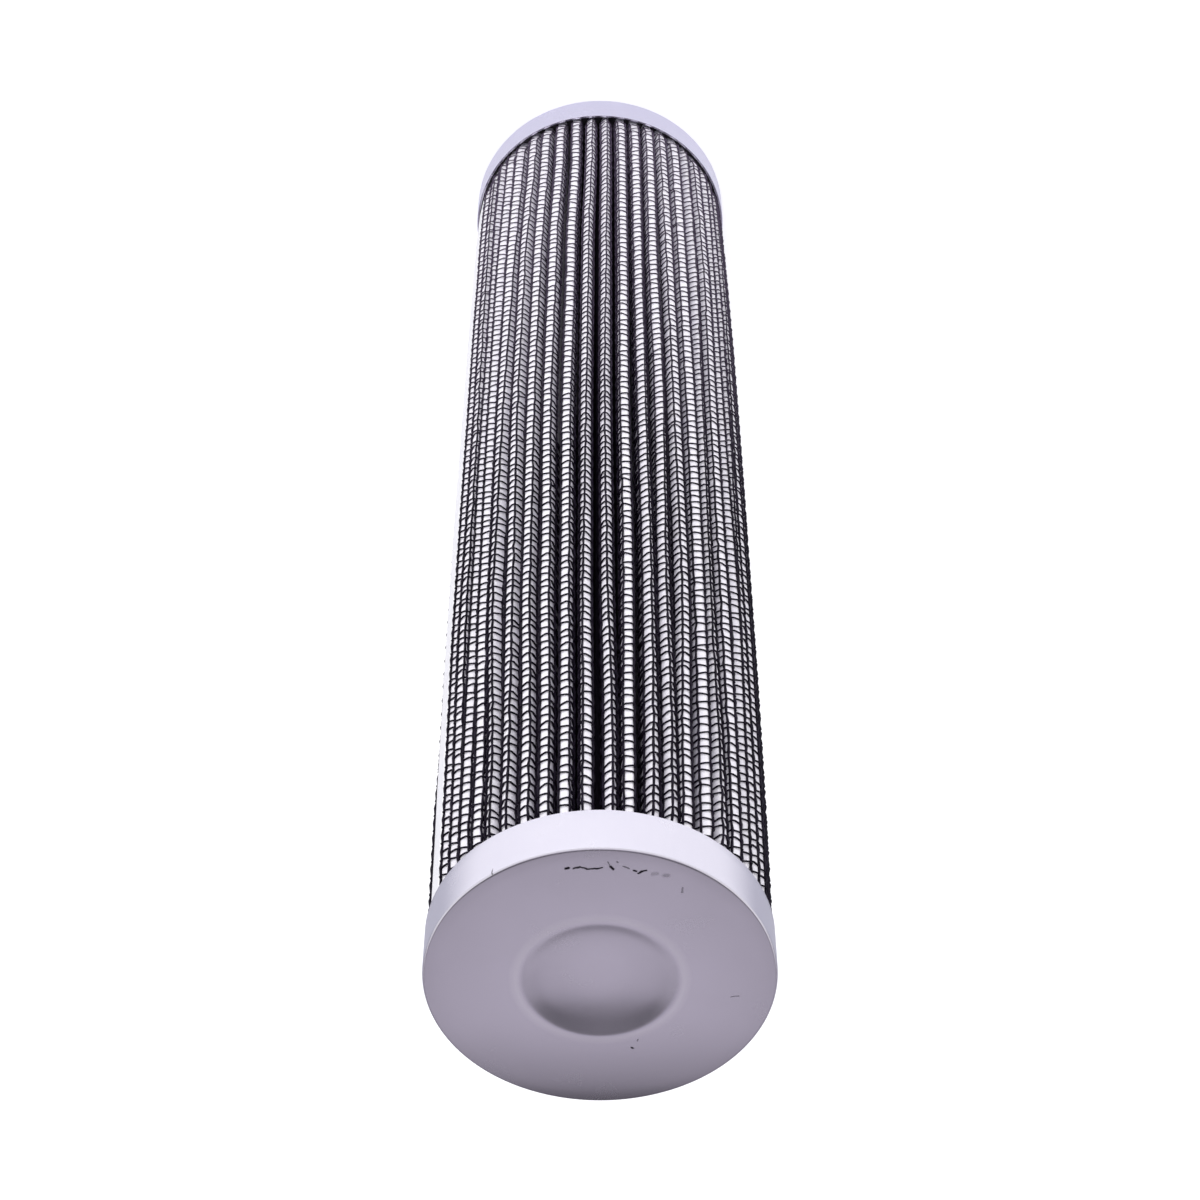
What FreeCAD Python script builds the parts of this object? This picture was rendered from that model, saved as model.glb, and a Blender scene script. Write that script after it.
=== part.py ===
import FreeCAD, Part

import math
import os
import re

import Sketcher
from FreeCAD import Placement, Rotation, Vector

# Replacement element of a hydraulic pressure filter, in millimetres.
# It stands on its open end. The origin is at the middle of the open end's
# face, and +Z runs up the axis to the closed end.

# Every driving size: its alias in the sheet, its value, what it measures
SIZES = [
    ("cap_radius", 26.0, "outside radius of both pressed end caps"),
    ("overall_length", 229.0, "open face to closed face"),
    ("cap_sheet", 0.5, "thickness of the sheet that the caps are pressed from"),
    ("cap_edge", 1.0, "outside bend radius where a cap's face turns into its skirt"),
    ("cap_corner", 0.35, "flat across the corner inside that bend"),
    ("closed_skirt", 8.3, "height of the closed cap's skirt"),
    ("open_skirt", 6.8, "height of the open cap's skirt"),
    ("face_ring", 14.5, "width of the closed face's flat ring, round its dish"),
    ("dimple_depth", 2.5, "depth of that dish"),
    ("dimple_run", 1.8, "how far its wall leans inward"),
    ("dimple_bend", 1.5, "bend radius at its rim and at its floor"),
    ("potting_depth", 3.5, "thickness of the adhesive bed in each cap"),
    ("potting_margin", 1.0, "adhesive bed's hole to the back of the dish"),
    ("collar_wall", 3.61, "wall of the outlet collar, from the bore to the core"),
    ("collar_height", 10.0, "length of the outlet collar"),
    ("collar_flange", 1.2, "thickness of the collar's flange"),
    ("groove_height", 3.4, "open face to the seal groove"),
    ("groove_width", 3.2, "width of the seal groove"),
    ("groove_depth", 2.2, "depth of the seal groove"),
    ("seal_stand", 0.15, "how far the seal stands out of its groove"),
    ("core_wall", 0.8, "wall of the core tube"),
    ("core_slot_width", 5.0, "width of a slot in the core"),
    ("core_slot_length", 14.0, "length of a slot in the core"),
    ("core_slot_margin", 16.0, "end of the core to the middle of the last slot"),
    ("core_slot_rows", 8, "slots along the core"),
    ("core_slot_columns", 6, "slots round the core"),
    ("fold_depth", 8.0, "crest of a fold down to the floor between two folds"),
    ("fold_clear", 0.14, "least way between two folds at that floor"),
    ("seam_angle", -14.6, "where the seam stands, in degrees from +X"),
    ("channel_width", 0.22, "open way left inside each fold"),
    ("inner_mesh_sheet", 0.20, "thickness of the inner support mesh"),
    ("media_sheet", 0.30, "thickness of the filter media"),
    ("outer_mesh_sheet", 0.35, "thickness of the outer wire mesh"),
    ("layer_gap", 0.02, "clearance between two layers of the pack"),
    ("pack_gap", 0.10, "clearance of the pack round the core"),
    ("fold_round", 0.5, "rounding of a crest's two shoulders"),
    ("window_width", 0.9, "width of a window in the crest of a fold"),
    ("window_band", 6.0, "unopened cloth between a window and a skirt"),
    ("seam_drop", 0.15, "room for the fall of the seam strip's flat top at its edges"),
    ("seam_head", 0.5, "thickness of the seam strip's head"),
    ("seam_round", 0.3, "rounding of its long edges"),
    ("seam_leg", 4.0, "depth of the two legs that grip the seam"),
    ("seam_leg_sheet", 0.3, "thickness of such a leg"),
    ("fit_gap", 0.05, "clearance of a piece in its seat"),
]

doc = FreeCAD.newDocument("filter_element")
sheet = doc.addObject("Spreadsheet::Sheet", "sizes")
for row, (alias, size, meaning) in enumerate(SIZES, start=1):
    sheet.set(f"A{row}", alias)
    sheet.set(f"B{row}", str(size))
    sheet.set(f"C{row}", meaning)
    sheet.setAlias(f"B{row}", alias)
doc.recompute()

ALIASES = re.compile(r"\b(" + "|".join(alias for alias, _, _ in SIZES) + r")\b")

# Heights and radii that several pieces share, each worked out from the sheet
CAP_BORE = "(cap_radius - cap_sheet)"
DISH_RADIUS = "(cap_radius - face_ring)"
PACK_RADIUS = f"({CAP_BORE} - fit_gap)"
PACK_BASE = "(cap_sheet + potting_depth)"
PACK_LENGTH = f"(overall_length - 2 * {PACK_BASE})"
HALF_FOLD = (
    "(channel_width / 2 + inner_mesh_sheet + media_sheet + outer_mesh_sheet"
    " + 2 * layer_gap)"
)
FLOOR_RADIUS = f"({PACK_RADIUS} - fold_depth)"
# As many folds, the seam's among them, as fit side by side at that floor
FLOOR_CORNER = f"sqrt({FLOOR_RADIUS} ^ 2 + {HALF_FOLD} ^ 2)"
FOLDS = (
    f"floor(180 deg / (atan({HALF_FOLD} / {FLOOR_RADIUS})"
    f" + asin(fold_clear / 2 / {FLOOR_CORNER})))"
)
FOLD_PITCH = f"(360 deg / {FOLDS})"
# The seam strip fills the way between the two folds beside it
SEAM_NECK = f"({PACK_RADIUS} - seam_head - seam_drop)"
SEAM_HALF = (
    f"({SEAM_NECK} * tan({FOLD_PITCH}) - {HALF_FOLD} / cos({FOLD_PITCH}) - fit_gap)"
)
SEAM_TOP = f"sqrt({PACK_RADIUS} ^ 2 - {SEAM_HALF} ^ 2)"
SEAM_HEAD = f"({SEAM_TOP} - seam_head)"
CORE_RADIUS = f"({FLOOR_RADIUS} - {HALF_FOLD} + channel_width / 2 - pack_gap)"
CORE_BORE = f"({CORE_RADIUS} - core_wall)"
CORE_BASE = "(cap_sheet + collar_flange)"
CORE_LENGTH = f"(overall_length - {PACK_BASE} - {CORE_BASE})"
SPIGOT_RADIUS = f"({CORE_BORE} - fit_gap)"
OUTLET_RADIUS = f"({SPIGOT_RADIUS} - collar_wall)"

# Two edges nearer than this are at the same place
SAME_PLACE = 1e-6

# Shapes of a crest's shoulders, and the share of its half width that CUT takes off
ROUND, CUT, SQUARE = "round", "cut", "square"
SHOULDER_CUT = 0.4


def bound(text):
    """The expression text with each alias written as the sheet's cell."""
    return ALIASES.sub(r"sizes.\1", str(text))


def value(text):
    """The number that the expression text stands for now."""
    return float(sheet.evalExpression(bound(text)))


def bind(item, prop, text):
    """Tie one property of an object to the sheet."""
    item.setExpression(prop, bound(text))


def new_body(label, base="0"):
    """An empty body with its own label, its foot at the height base."""
    body = doc.addObject("PartDesign::Body", label)
    body.Label = label
    bind(body, ".Placement.Base.z", base)
    return body


def origin_part(body, role):
    """The origin plane or axis of a body that has this role."""
    for item in body.Origin.OriginFeatures:
        if item.Role == role:
            return item
    raise ValueError(role)


def new_sketch(body, name, plane):
    """An empty sketch on one of the body's own origin planes."""
    sketch = body.newObject("Sketcher::SketchObject", name)
    sketch.AttachmentSupport = (origin_part(body, plane), [""])
    sketch.MapMode = "FlatFace"
    return sketch


def draw_outline(sketch, corners):
    """A closed outline whose corners are pairs of expressions, across and up."""
    points = [Vector(value(across), value(up), 0) for across, up in corners]
    count = len(points)
    for i in range(count):
        sketch.addGeometry(Part.LineSegment(points[i], points[(i + 1) % count]))
    for i in range(count):
        sketch.addConstraint(Sketcher.Constraint("Coincident", i, 2, (i + 1) % count, 1))
    for i, (across, up) in enumerate(corners):
        for kind, axis, text in (("DistanceX", -2, across), ("DistanceY", -1, up)):
            if text == "0":
                sketch.addConstraint(Sketcher.Constraint("PointOnObject", i, 1, axis))
            else:
                held = Sketcher.Constraint(kind, -1, 1, i, 1, value(text))
                bind(sketch, f"Constraints[{sketch.addConstraint(held)}]", text)


def draw_circle(sketch, radius):
    """A circle about the sketch's origin, its radius an expression."""
    circle = Part.Circle(Vector(0, 0, 0), Vector(0, 0, 1), value(radius))
    number = sketch.addGeometry(circle)
    sketch.addConstraint(Sketcher.Constraint("Coincident", number, 3, -1, 1))
    held = sketch.addConstraint(Sketcher.Constraint("Radius", number, value(radius)))
    bind(sketch, f"Constraints[{held}]", radius)


def revolve(body, name, corners):
    """The solid that an outline in the XZ plane sweeps round the Z axis."""
    sketch = new_sketch(body, name + "_profile", "XZ_Plane")
    draw_outline(sketch, corners)
    turned = body.newObject("PartDesign::Revolution", name)
    turned.Profile = sketch
    turned.ReferenceAxis = (sketch, ["V_Axis"])
    turned.Angle = 360
    doc.recompute()
    return turned


def ring_edges(feature, radius, height):
    """Names of the round edges of a feature at this radius and height."""
    names = []
    for number, edge in enumerate(feature.Shape.Edges, start=1):
        curve = edge.Curve
        if not isinstance(curve, Part.Circle):
            continue
        off = abs(curve.Radius - value(radius)) + abs(curve.Center.z - value(height))
        if off < SAME_PLACE:
            names.append(f"Edge{number}")
    return names


def round_edges(body, name, feature, edges, radius):
    """Round the named edges of a feature."""
    fillet = body.newObject("PartDesign::Fillet", name)
    fillet.Base = (feature, edges)
    bind(fillet, "Radius", radius)
    doc.recompute()
    return fillet


def closed_end_cap():
    """Pressed cap with a round dish in its face and a short skirt."""
    body = new_body("closed_end_cap", "overall_length - closed_skirt")
    top = "closed_skirt"
    floor = f"({top} - dimple_depth)"
    floor_radius = f"({DISH_RADIUS} - dimple_run)"
    # the wall of the dish leans, so its back stands off by this much more
    lean = "atan(dimple_run / dimple_depth) / 2"
    back = f"cap_sheet * tan(45 deg - {lean})"
    pressed = revolve(body, "closed_cap_press", [
        ("0", floor),
        (floor_radius, floor),
        (DISH_RADIUS, top),
        ("cap_radius", top),
        ("cap_radius", "0"),
        (CAP_BORE, "0"),
        (CAP_BORE, f"{top} - cap_sheet - cap_corner"),
        (f"{CAP_BORE} - cap_corner", f"{top} - cap_sheet"),
        (f"{DISH_RADIUS} + {back}", f"{top} - cap_sheet"),
        (f"{floor_radius} + {back}", f"{floor} - cap_sheet"),
        ("0", f"{floor} - cap_sheet"),
    ])
    rim = round_edges(body, "closed_cap_edge", pressed,
                      ring_edges(pressed, "cap_radius", top), "cap_edge")
    bends = ring_edges(rim, DISH_RADIUS, top) + ring_edges(rim, floor_radius, floor)
    round_edges(body, "closed_cap_dish", rim, bends, "dimple_bend")
    return body


def open_end_cap():
    """Pressed cap with a flat face, a hole for the outlet collar and a skirt."""
    body = new_body("open_end_cap")
    pressed = revolve(body, "open_cap_press", [
        (CORE_BORE, "0"),
        ("cap_radius", "0"),
        ("cap_radius", "open_skirt"),
        (CAP_BORE, "open_skirt"),
        (CAP_BORE, "cap_sheet + cap_corner"),
        (f"{CAP_BORE} - cap_corner", "cap_sheet"),
        (CORE_BORE, "cap_sheet"),
    ])
    round_edges(body, "open_cap_edge", pressed,
                ring_edges(pressed, "cap_radius", "0"), "cap_edge")
    return body


def outlet_collar():
    """Turned collar: a flange inside the cap, a spigot for the core, a seal groove."""
    body = new_body("outlet_collar")
    groove_top = "groove_height + groove_width"
    groove_radius = f"{OUTLET_RADIUS} + groove_depth"
    revolve(body, "collar_turning", [
        (OUTLET_RADIUS, "0"),
        (SPIGOT_RADIUS, "0"),
        (SPIGOT_RADIUS, "cap_sheet"),
        (CORE_RADIUS, "cap_sheet"),
        (CORE_RADIUS, CORE_BASE),
        (SPIGOT_RADIUS, CORE_BASE),
        (SPIGOT_RADIUS, "collar_height"),
        (OUTLET_RADIUS, "collar_height"),
        (OUTLET_RADIUS, groove_top),
        (groove_radius, groove_top),
        (groove_radius, "groove_height"),
        (OUTLET_RADIUS, "groove_height"),
    ])
    return body


def seal_ring():
    """Square-cut rubber ring in the collar's groove."""
    outer = doc.addObject("Part::Cylinder", "seal_outside")
    inner = doc.addObject("Part::Cylinder", "seal_inside")
    bind(outer, "Radius", f"{OUTLET_RADIUS} + groove_depth - fit_gap")
    bind(inner, "Radius", f"{OUTLET_RADIUS} - seal_stand")
    for part in (outer, inner):
        bind(part, "Height", "groove_width - 2 * fit_gap")
    ring = doc.addObject("Part::Cut", "seal_ring")
    ring.Label = "seal_ring"
    ring.Base = outer
    ring.Tool = inner
    bind(ring, ".Placement.Base.z", "groove_height + fit_gap")
    return ring


def potting(label, hole, base, face):
    """Bed of adhesive in a cap, against the cap's face at the height face."""
    body = new_body(label, base)
    far = "potting_depth" if face == "0" else "0"
    corner = f"{face} + cap_corner" if face == "0" else f"{face} - cap_corner"
    revolve(body, label + "_bed", [
        (hole, face),
        (f"{PACK_RADIUS} - cap_corner", face),
        (PACK_RADIUS, corner),
        (PACK_RADIUS, far),
        (hole, far),
    ])
    return body


def core_tube():
    """Support tube with rows of slots, which the folds lean on."""
    body = new_body("core_tube", CORE_BASE)
    wall = new_sketch(body, "core_section", "XY_Plane")
    draw_circle(wall, CORE_RADIUS)
    draw_circle(wall, CORE_BORE)
    tube = body.newObject("PartDesign::Pad", "core_pad")
    tube.Profile = wall
    bind(tube, "Length", CORE_LENGTH)
    doc.recompute()
    slot = new_sketch(body, "core_slot", "XZ_Plane")
    low = "core_slot_margin - core_slot_length / 2"
    high = "core_slot_margin + core_slot_length / 2"
    draw_outline(slot, [
        ("-core_slot_width / 2", low),
        ("core_slot_width / 2", low),
        ("core_slot_width / 2", high),
        ("-core_slot_width / 2", high),
    ])
    cut = body.newObject("PartDesign::Pocket", "core_slot_cut")
    cut.Profile = slot
    bind(cut, "Length", "cap_radius")
    doc.recompute()
    along = doc.addObject("PartDesign::LinearPattern", "core_slots_along")
    along.Direction = (origin_part(body, "Z_Axis"), [""])
    bind(along, "Length", f"{CORE_LENGTH} - 2 * core_slot_margin")
    bind(along, "Occurrences", "core_slot_rows")
    around = doc.addObject("PartDesign::PolarPattern", "core_slots_around")
    around.Axis = (origin_part(body, "Z_Axis"), [""])
    around.Angle = 360
    bind(around, "Occurrences", "core_slot_columns")
    slots = body.newObject("PartDesign::MultiTransform", "core_slots")
    slots.Originals = [cut]
    slots.Transformations = [along, around]
    body.Tip = slots
    return body


def seam_strip():
    """Smooth strip that grips the pack's two ends and closes the seam."""
    body = new_body("seam_strip", PACK_BASE)
    bind(body, ".Placement.Rotation.Angle", "seam_angle")
    foot = f"({SEAM_HEAD} - seam_leg)"
    grip = f"({HALF_FOLD} + fit_gap)"
    leg = f"({grip} + seam_leg_sheet)"
    section = new_sketch(body, "seam_section", "XY_Plane")
    draw_outline(section, [
        (SEAM_TOP, f"-{SEAM_HALF}"),
        (SEAM_TOP, SEAM_HALF),
        (SEAM_HEAD, SEAM_HALF),
        (SEAM_HEAD, leg),
        (foot, leg),
        (foot, grip),
        (SEAM_HEAD, grip),
        (SEAM_HEAD, f"-{grip}"),
        (foot, f"-{grip}"),
        (foot, f"-{leg}"),
        (SEAM_HEAD, f"-{leg}"),
        (SEAM_HEAD, f"-{SEAM_HALF}"),
    ])
    strip = body.newObject("PartDesign::Pad", "seam_pad")
    strip.Profile = section
    bind(strip, "Length", PACK_LENGTH)
    doc.recompute()
    edges = []
    for number, edge in enumerate(strip.Shape.Edges, start=1):
        box = edge.BoundBox
        at_top = abs(box.XMin - value(SEAM_TOP)) < SAME_PLACE
        if at_top and box.ZLength > box.YLength:
            edges.append(f"Edge{number}")
    round_edges(body, "seam_edges", strip, edges, "seam_round")
    return body


def at_fold(angle, reach, side):
    """The point that lies this far out and this far aside in the fold at angle."""
    turn = math.radians(angle)
    return Vector(reach * math.cos(turn) - side * math.sin(turn),
                  reach * math.sin(turn) + side * math.cos(turn), 0)


def crest(angle, top, half_width, shoulder):
    """Edges over the crest of a fold whose shoulders are ROUND, CUT or SQUARE."""
    if shoulder == SQUARE:
        return [Part.makeLine(at_fold(angle, top, -half_width),
                              at_fold(angle, top, half_width))]
    cut = value("fold_round") if shoulder == ROUND else SHOULDER_CUT * half_width
    corners = []
    for reach, side in ((top - cut, -half_width), (top, cut - half_width),
                        (top, half_width - cut), (top - cut, half_width)):
        corners.append(at_fold(angle, reach, side))
    if shoulder == CUT:
        return [Part.makeLine(a, b) for a, b in zip(corners, corners[1:])]
    lean = cut * math.sqrt(0.5)
    knees = []
    for side in (cut - half_width - lean, half_width - cut + lean):
        knees.append(at_fold(angle, top - cut + lean, side))
    return [
        Part.Arc(corners[0], knees[0], corners[1]).toShape(),
        Part.makeLine(corners[1], corners[2]),
        Part.Arc(corners[2], knees[1], corners[3]).toShape(),
    ]


def folded_face(half_width, shoulder):
    """One face of a pleated sheet in section, from the seam round to the seam.

    half_width is the face's distance from the middle of its own fold.
    """
    count = int(value(FOLDS))
    pitch = 360 / count
    top = value(f"{PACK_RADIUS} - {HALF_FOLD}") + half_width
    floor = value(f"{FLOOR_RADIUS} - {HALF_FOLD}") + half_width
    foot = math.sqrt(floor ** 2 - half_width ** 2)
    cut_edge = value(f"{SEAM_HEAD} - fit_gap")
    start = at_fold(value("seam_angle"), cut_edge, half_width)
    edges = []
    here = start
    for number in range(1, count + 1):
        angle = value("seam_angle") + number * pitch
        near_foot = at_fold(angle - pitch, foot, half_width)
        far_foot = at_fold(angle, foot, -half_width)
        edges.append(Part.makeLine(here, near_foot))
        edges.append(Part.makeLine(near_foot, far_foot))
        if number == count:
            here = at_fold(angle, cut_edge, -half_width)
            edges.append(Part.makeLine(far_foot, here))
        else:
            over = crest(angle, top, half_width, shoulder)
            edges.append(Part.makeLine(far_foot, over[0].firstVertex(True).Point))
            edges.extend(over)
            here = over[-1].lastVertex(True).Point
    return edges, start, here


def pleated_solid(outer_half_width, sheet_thickness, outer_shoulder, inner_shoulder):
    """A sheet of this thickness, folded round the core, as high as the pack."""
    outer, outer_start, outer_end = folded_face(outer_half_width, outer_shoulder)
    inner, inner_start, inner_end = folded_face(outer_half_width - sheet_thickness,
                                                inner_shoulder)
    edges = outer + [Part.makeLine(outer_end, inner_end)] + inner[::-1]
    edges.append(Part.makeLine(inner_start, outer_start))
    section = Part.Face(Part.Wire(edges))
    return section.extrude(Vector(0, 0, value(PACK_LENGTH)))


def crest_windows():
    """Cutters for the long window in every crest but the seam's."""
    low = value("open_skirt + window_band")
    high = value("overall_length - closed_skirt - window_band")
    width = value("window_width")
    centre = value(PACK_RADIUS) - value(HALF_FOLD)
    depth = value("cap_radius") - centre
    cutters = []
    count = int(value(FOLDS))
    for number in range(1, count):
        cutter = Part.makeBox(depth, width, high - low)
        cutter.translate(Vector(centre, -width / 2, low - value(PACK_BASE)))
        turn = value("seam_angle") + number * 360 / count
        cutter.rotate(Vector(0, 0, 0), Vector(0, 0, 1), turn)
        cutters.append(cutter)
    return cutters


def pleated_layer(label, solid):
    """One layer of the pack, standing on the adhesive of the open cap."""
    layer = doc.addObject("Part::Feature", label)
    layer.Label = label
    layer.Shape = solid
    layer.Placement = Placement(Vector(0, 0, value(PACK_BASE)), Rotation())
    return layer


def outer_wire_mesh():
    """Outer wire cloth: round crests, opened so that the oil reaches the media."""
    folded = pleated_solid(value(HALF_FOLD), value("outer_mesh_sheet"), ROUND, CUT)
    return pleated_layer("outer_wire_mesh", folded.cut(crest_windows()))


def filter_media():
    """The filter sheet itself, between the two meshes."""
    outside = value(f"{HALF_FOLD} - outer_mesh_sheet - layer_gap")
    return pleated_layer("filter_media",
                         pleated_solid(outside, value("media_sheet"), CUT, SQUARE))


def inner_wire_mesh():
    """Fine mesh that keeps the way to the core open inside each fold."""
    outside = value("channel_width / 2 + inner_mesh_sheet")
    return pleated_layer("inner_wire_mesh",
                         pleated_solid(outside, value("inner_mesh_sheet"), SQUARE, SQUARE))


PIECES = [
    closed_end_cap(),
    open_end_cap(),
    outlet_collar(),
    seal_ring(),
    potting("open_end_potting", f"({CORE_RADIUS} + fit_gap)", "cap_sheet", "0"),
    potting("closed_end_potting", f"({DISH_RADIUS} + cap_sheet + potting_margin)",
            f"overall_length - {PACK_BASE}", "potting_depth"),
    core_tube(),
    outer_wire_mesh(),
    filter_media(),
    inner_wire_mesh(),
    seam_strip(),
]
doc.recompute()

for item in doc.Objects:
    if "Invalid" in item.State or "Error" in item.State:
        raise RuntimeError(f"{item.Label} failed: {item.State}")
for piece in PIECES:
    if piece.Shape.isNull() or not piece.Shape.isValid() or len(piece.Shape.Solids) != 1:
        raise RuntimeError(f"{piece.Label} is not one valid solid")

os.makedirs("parts", exist_ok=True)
for piece in PIECES:
    piece.Shape.exportStep(f"parts/{piece.Label}.step")
    print(f"{piece.Label}: {piece.Shape.Volume:.1f} mm3")
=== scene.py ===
import logging
import math
from dataclasses import dataclass, field
from enum import Enum
from functools import cached_property
from typing import ClassVar

import bpy
import numpy as np
from mathutils import Matrix, Vector


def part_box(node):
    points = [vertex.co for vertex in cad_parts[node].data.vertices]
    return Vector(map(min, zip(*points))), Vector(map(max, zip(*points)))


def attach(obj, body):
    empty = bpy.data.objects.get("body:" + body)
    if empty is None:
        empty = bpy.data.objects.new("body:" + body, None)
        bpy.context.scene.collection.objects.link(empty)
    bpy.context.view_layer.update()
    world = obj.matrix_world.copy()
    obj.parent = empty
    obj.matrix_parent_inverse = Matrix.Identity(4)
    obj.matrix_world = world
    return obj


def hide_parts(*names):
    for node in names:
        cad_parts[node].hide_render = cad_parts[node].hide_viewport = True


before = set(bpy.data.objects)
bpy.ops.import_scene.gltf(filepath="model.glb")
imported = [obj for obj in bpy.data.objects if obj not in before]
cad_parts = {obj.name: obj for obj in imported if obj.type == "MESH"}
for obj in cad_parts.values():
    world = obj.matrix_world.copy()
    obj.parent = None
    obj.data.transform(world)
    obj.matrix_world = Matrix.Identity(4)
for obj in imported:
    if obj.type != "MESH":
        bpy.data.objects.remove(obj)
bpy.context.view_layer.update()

LOG = logging.getLogger("filter_element")

# Every size in the classes below is in millimetres, and every mesh in metres
MM = 0.001
ROOT = "root"


class Slot(Enum):
    """Material slots of the record; a folded sheet keeps one, but no piece takes its
    finish from it.
    """

    CAP = "cap_steel"
    CLOTH = "black_mesh"
    INNER_CLOTH = "inner_mesh"
    MEDIA = "white_media"
    SEAM = "seam_plastic"


class Side(Enum):
    """The way that the outside of a pressed cap looks along the axis."""

    UP = 1.0
    DOWN = -1.0


def node_span(node: str) -> tuple[float, float, float]:
    """Radius and height range of a round CAD node.

    Args:
        node: the node's name.

    Returns:
        Its outside radius, its lowest and its highest point, in millimetres.
    """
    low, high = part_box(node)
    radius = max(high.x, high.y, -low.x, -low.y)
    return radius / MM, low.z / MM, high.z / MM


def smooth_step(values: np.ndarray) -> np.ndarray:
    """Values from 0 to 1 eased at both ends.

    Args:
        values: any numbers; those outside 0 to 1 are held there.

    Returns:
        The eased numbers.
    """
    held = np.clip(values, 0.0, 1.0)
    return held * held * (3.0 - 2.0 * held)


class PieceMesh:
    """Gathers the points and faces of one piece and makes its object."""

    def __init__(self) -> None:
        """Start with no points and no faces."""
        self.points: list[np.ndarray] = []
        self.faces: list[np.ndarray] = []
        self.depths: list[np.ndarray] = []
        self.count = 0

    def add(self, points: np.ndarray, faces: np.ndarray,
            depth: np.ndarray | None = None) -> None:
        """Add some points and the faces between them.

        Args:
            points: their places, (n, 3), in millimetres.
            faces: (m, 3) or (m, 4) numbers of the points of each face.
            depth: how far each point lies below the crest of its fold.
        """
        self.points.append(points)
        self.faces.append(faces + self.count)
        self.depths.append(np.zeros(len(points)) if depth is None else depth)
        self.count += len(points)

    def piece(self, name: str, material: bpy.types.Material,
              crease: float = 180.0) -> bpy.types.Object:
        """Make the object.

        Args:
            name: the piece's name.
            material: its finish.
            crease: angle in degrees above which an edge stays sharp.

        Returns:
            The object, in metres, in the part's own frame.
        """
        mesh = bpy.data.meshes.new(name)
        points = np.concatenate(self.points) * MM
        sizes = np.concatenate([np.full(len(f), f.shape[1]) for f in self.faces])
        corners = np.concatenate([f.ravel() for f in self.faces])
        starts = np.concatenate([[0], np.cumsum(sizes)[:-1]])
        mesh.vertices.add(len(points))
        mesh.vertices.foreach_set("co", points.astype(np.float32).ravel())
        mesh.loops.add(len(corners))
        mesh.loops.foreach_set("vertex_index", corners.astype(np.int32))
        mesh.polygons.add(len(sizes))
        mesh.polygons.foreach_set("loop_start", starts.astype(np.int32))
        mesh.polygons.foreach_set("use_smooth", np.ones(len(sizes), bool))
        mesh.update(calc_edges=True)
        mesh.validate()
        if crease < 180.0:
            mesh.set_sharp_from_angle(angle=math.radians(crease))
        depth = mesh.attributes.new("crest_depth", "FLOAT", "POINT")
        depth.data.foreach_set("value", np.concatenate(self.depths).astype(np.float32))
        mesh.materials.append(material)
        made = bpy.data.objects.new(name, mesh)
        bpy.context.scene.collection.objects.link(made)
        return made


def grid_faces(rows: int, columns: int, wrap: bool = False) -> np.ndarray:
    """Four-cornered faces over a grid of points.

    Args:
        rows: rows of points.
        columns: points in a row.
        wrap: whether the last point of a row joins the first.

    Returns:
        (m, 4) point numbers.
    """
    row, column = np.meshgrid(np.arange(rows - 1),
                              np.arange(columns if wrap else columns - 1), indexing="ij")
    row, column = row.ravel(), column.ravel()
    after = (column + 1) % columns
    return np.stack([row * columns + column, row * columns + after,
                     (row + 1) * columns + after, (row + 1) * columns + column], axis=1)


# ---------------------------------------------------------------- materials


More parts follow.
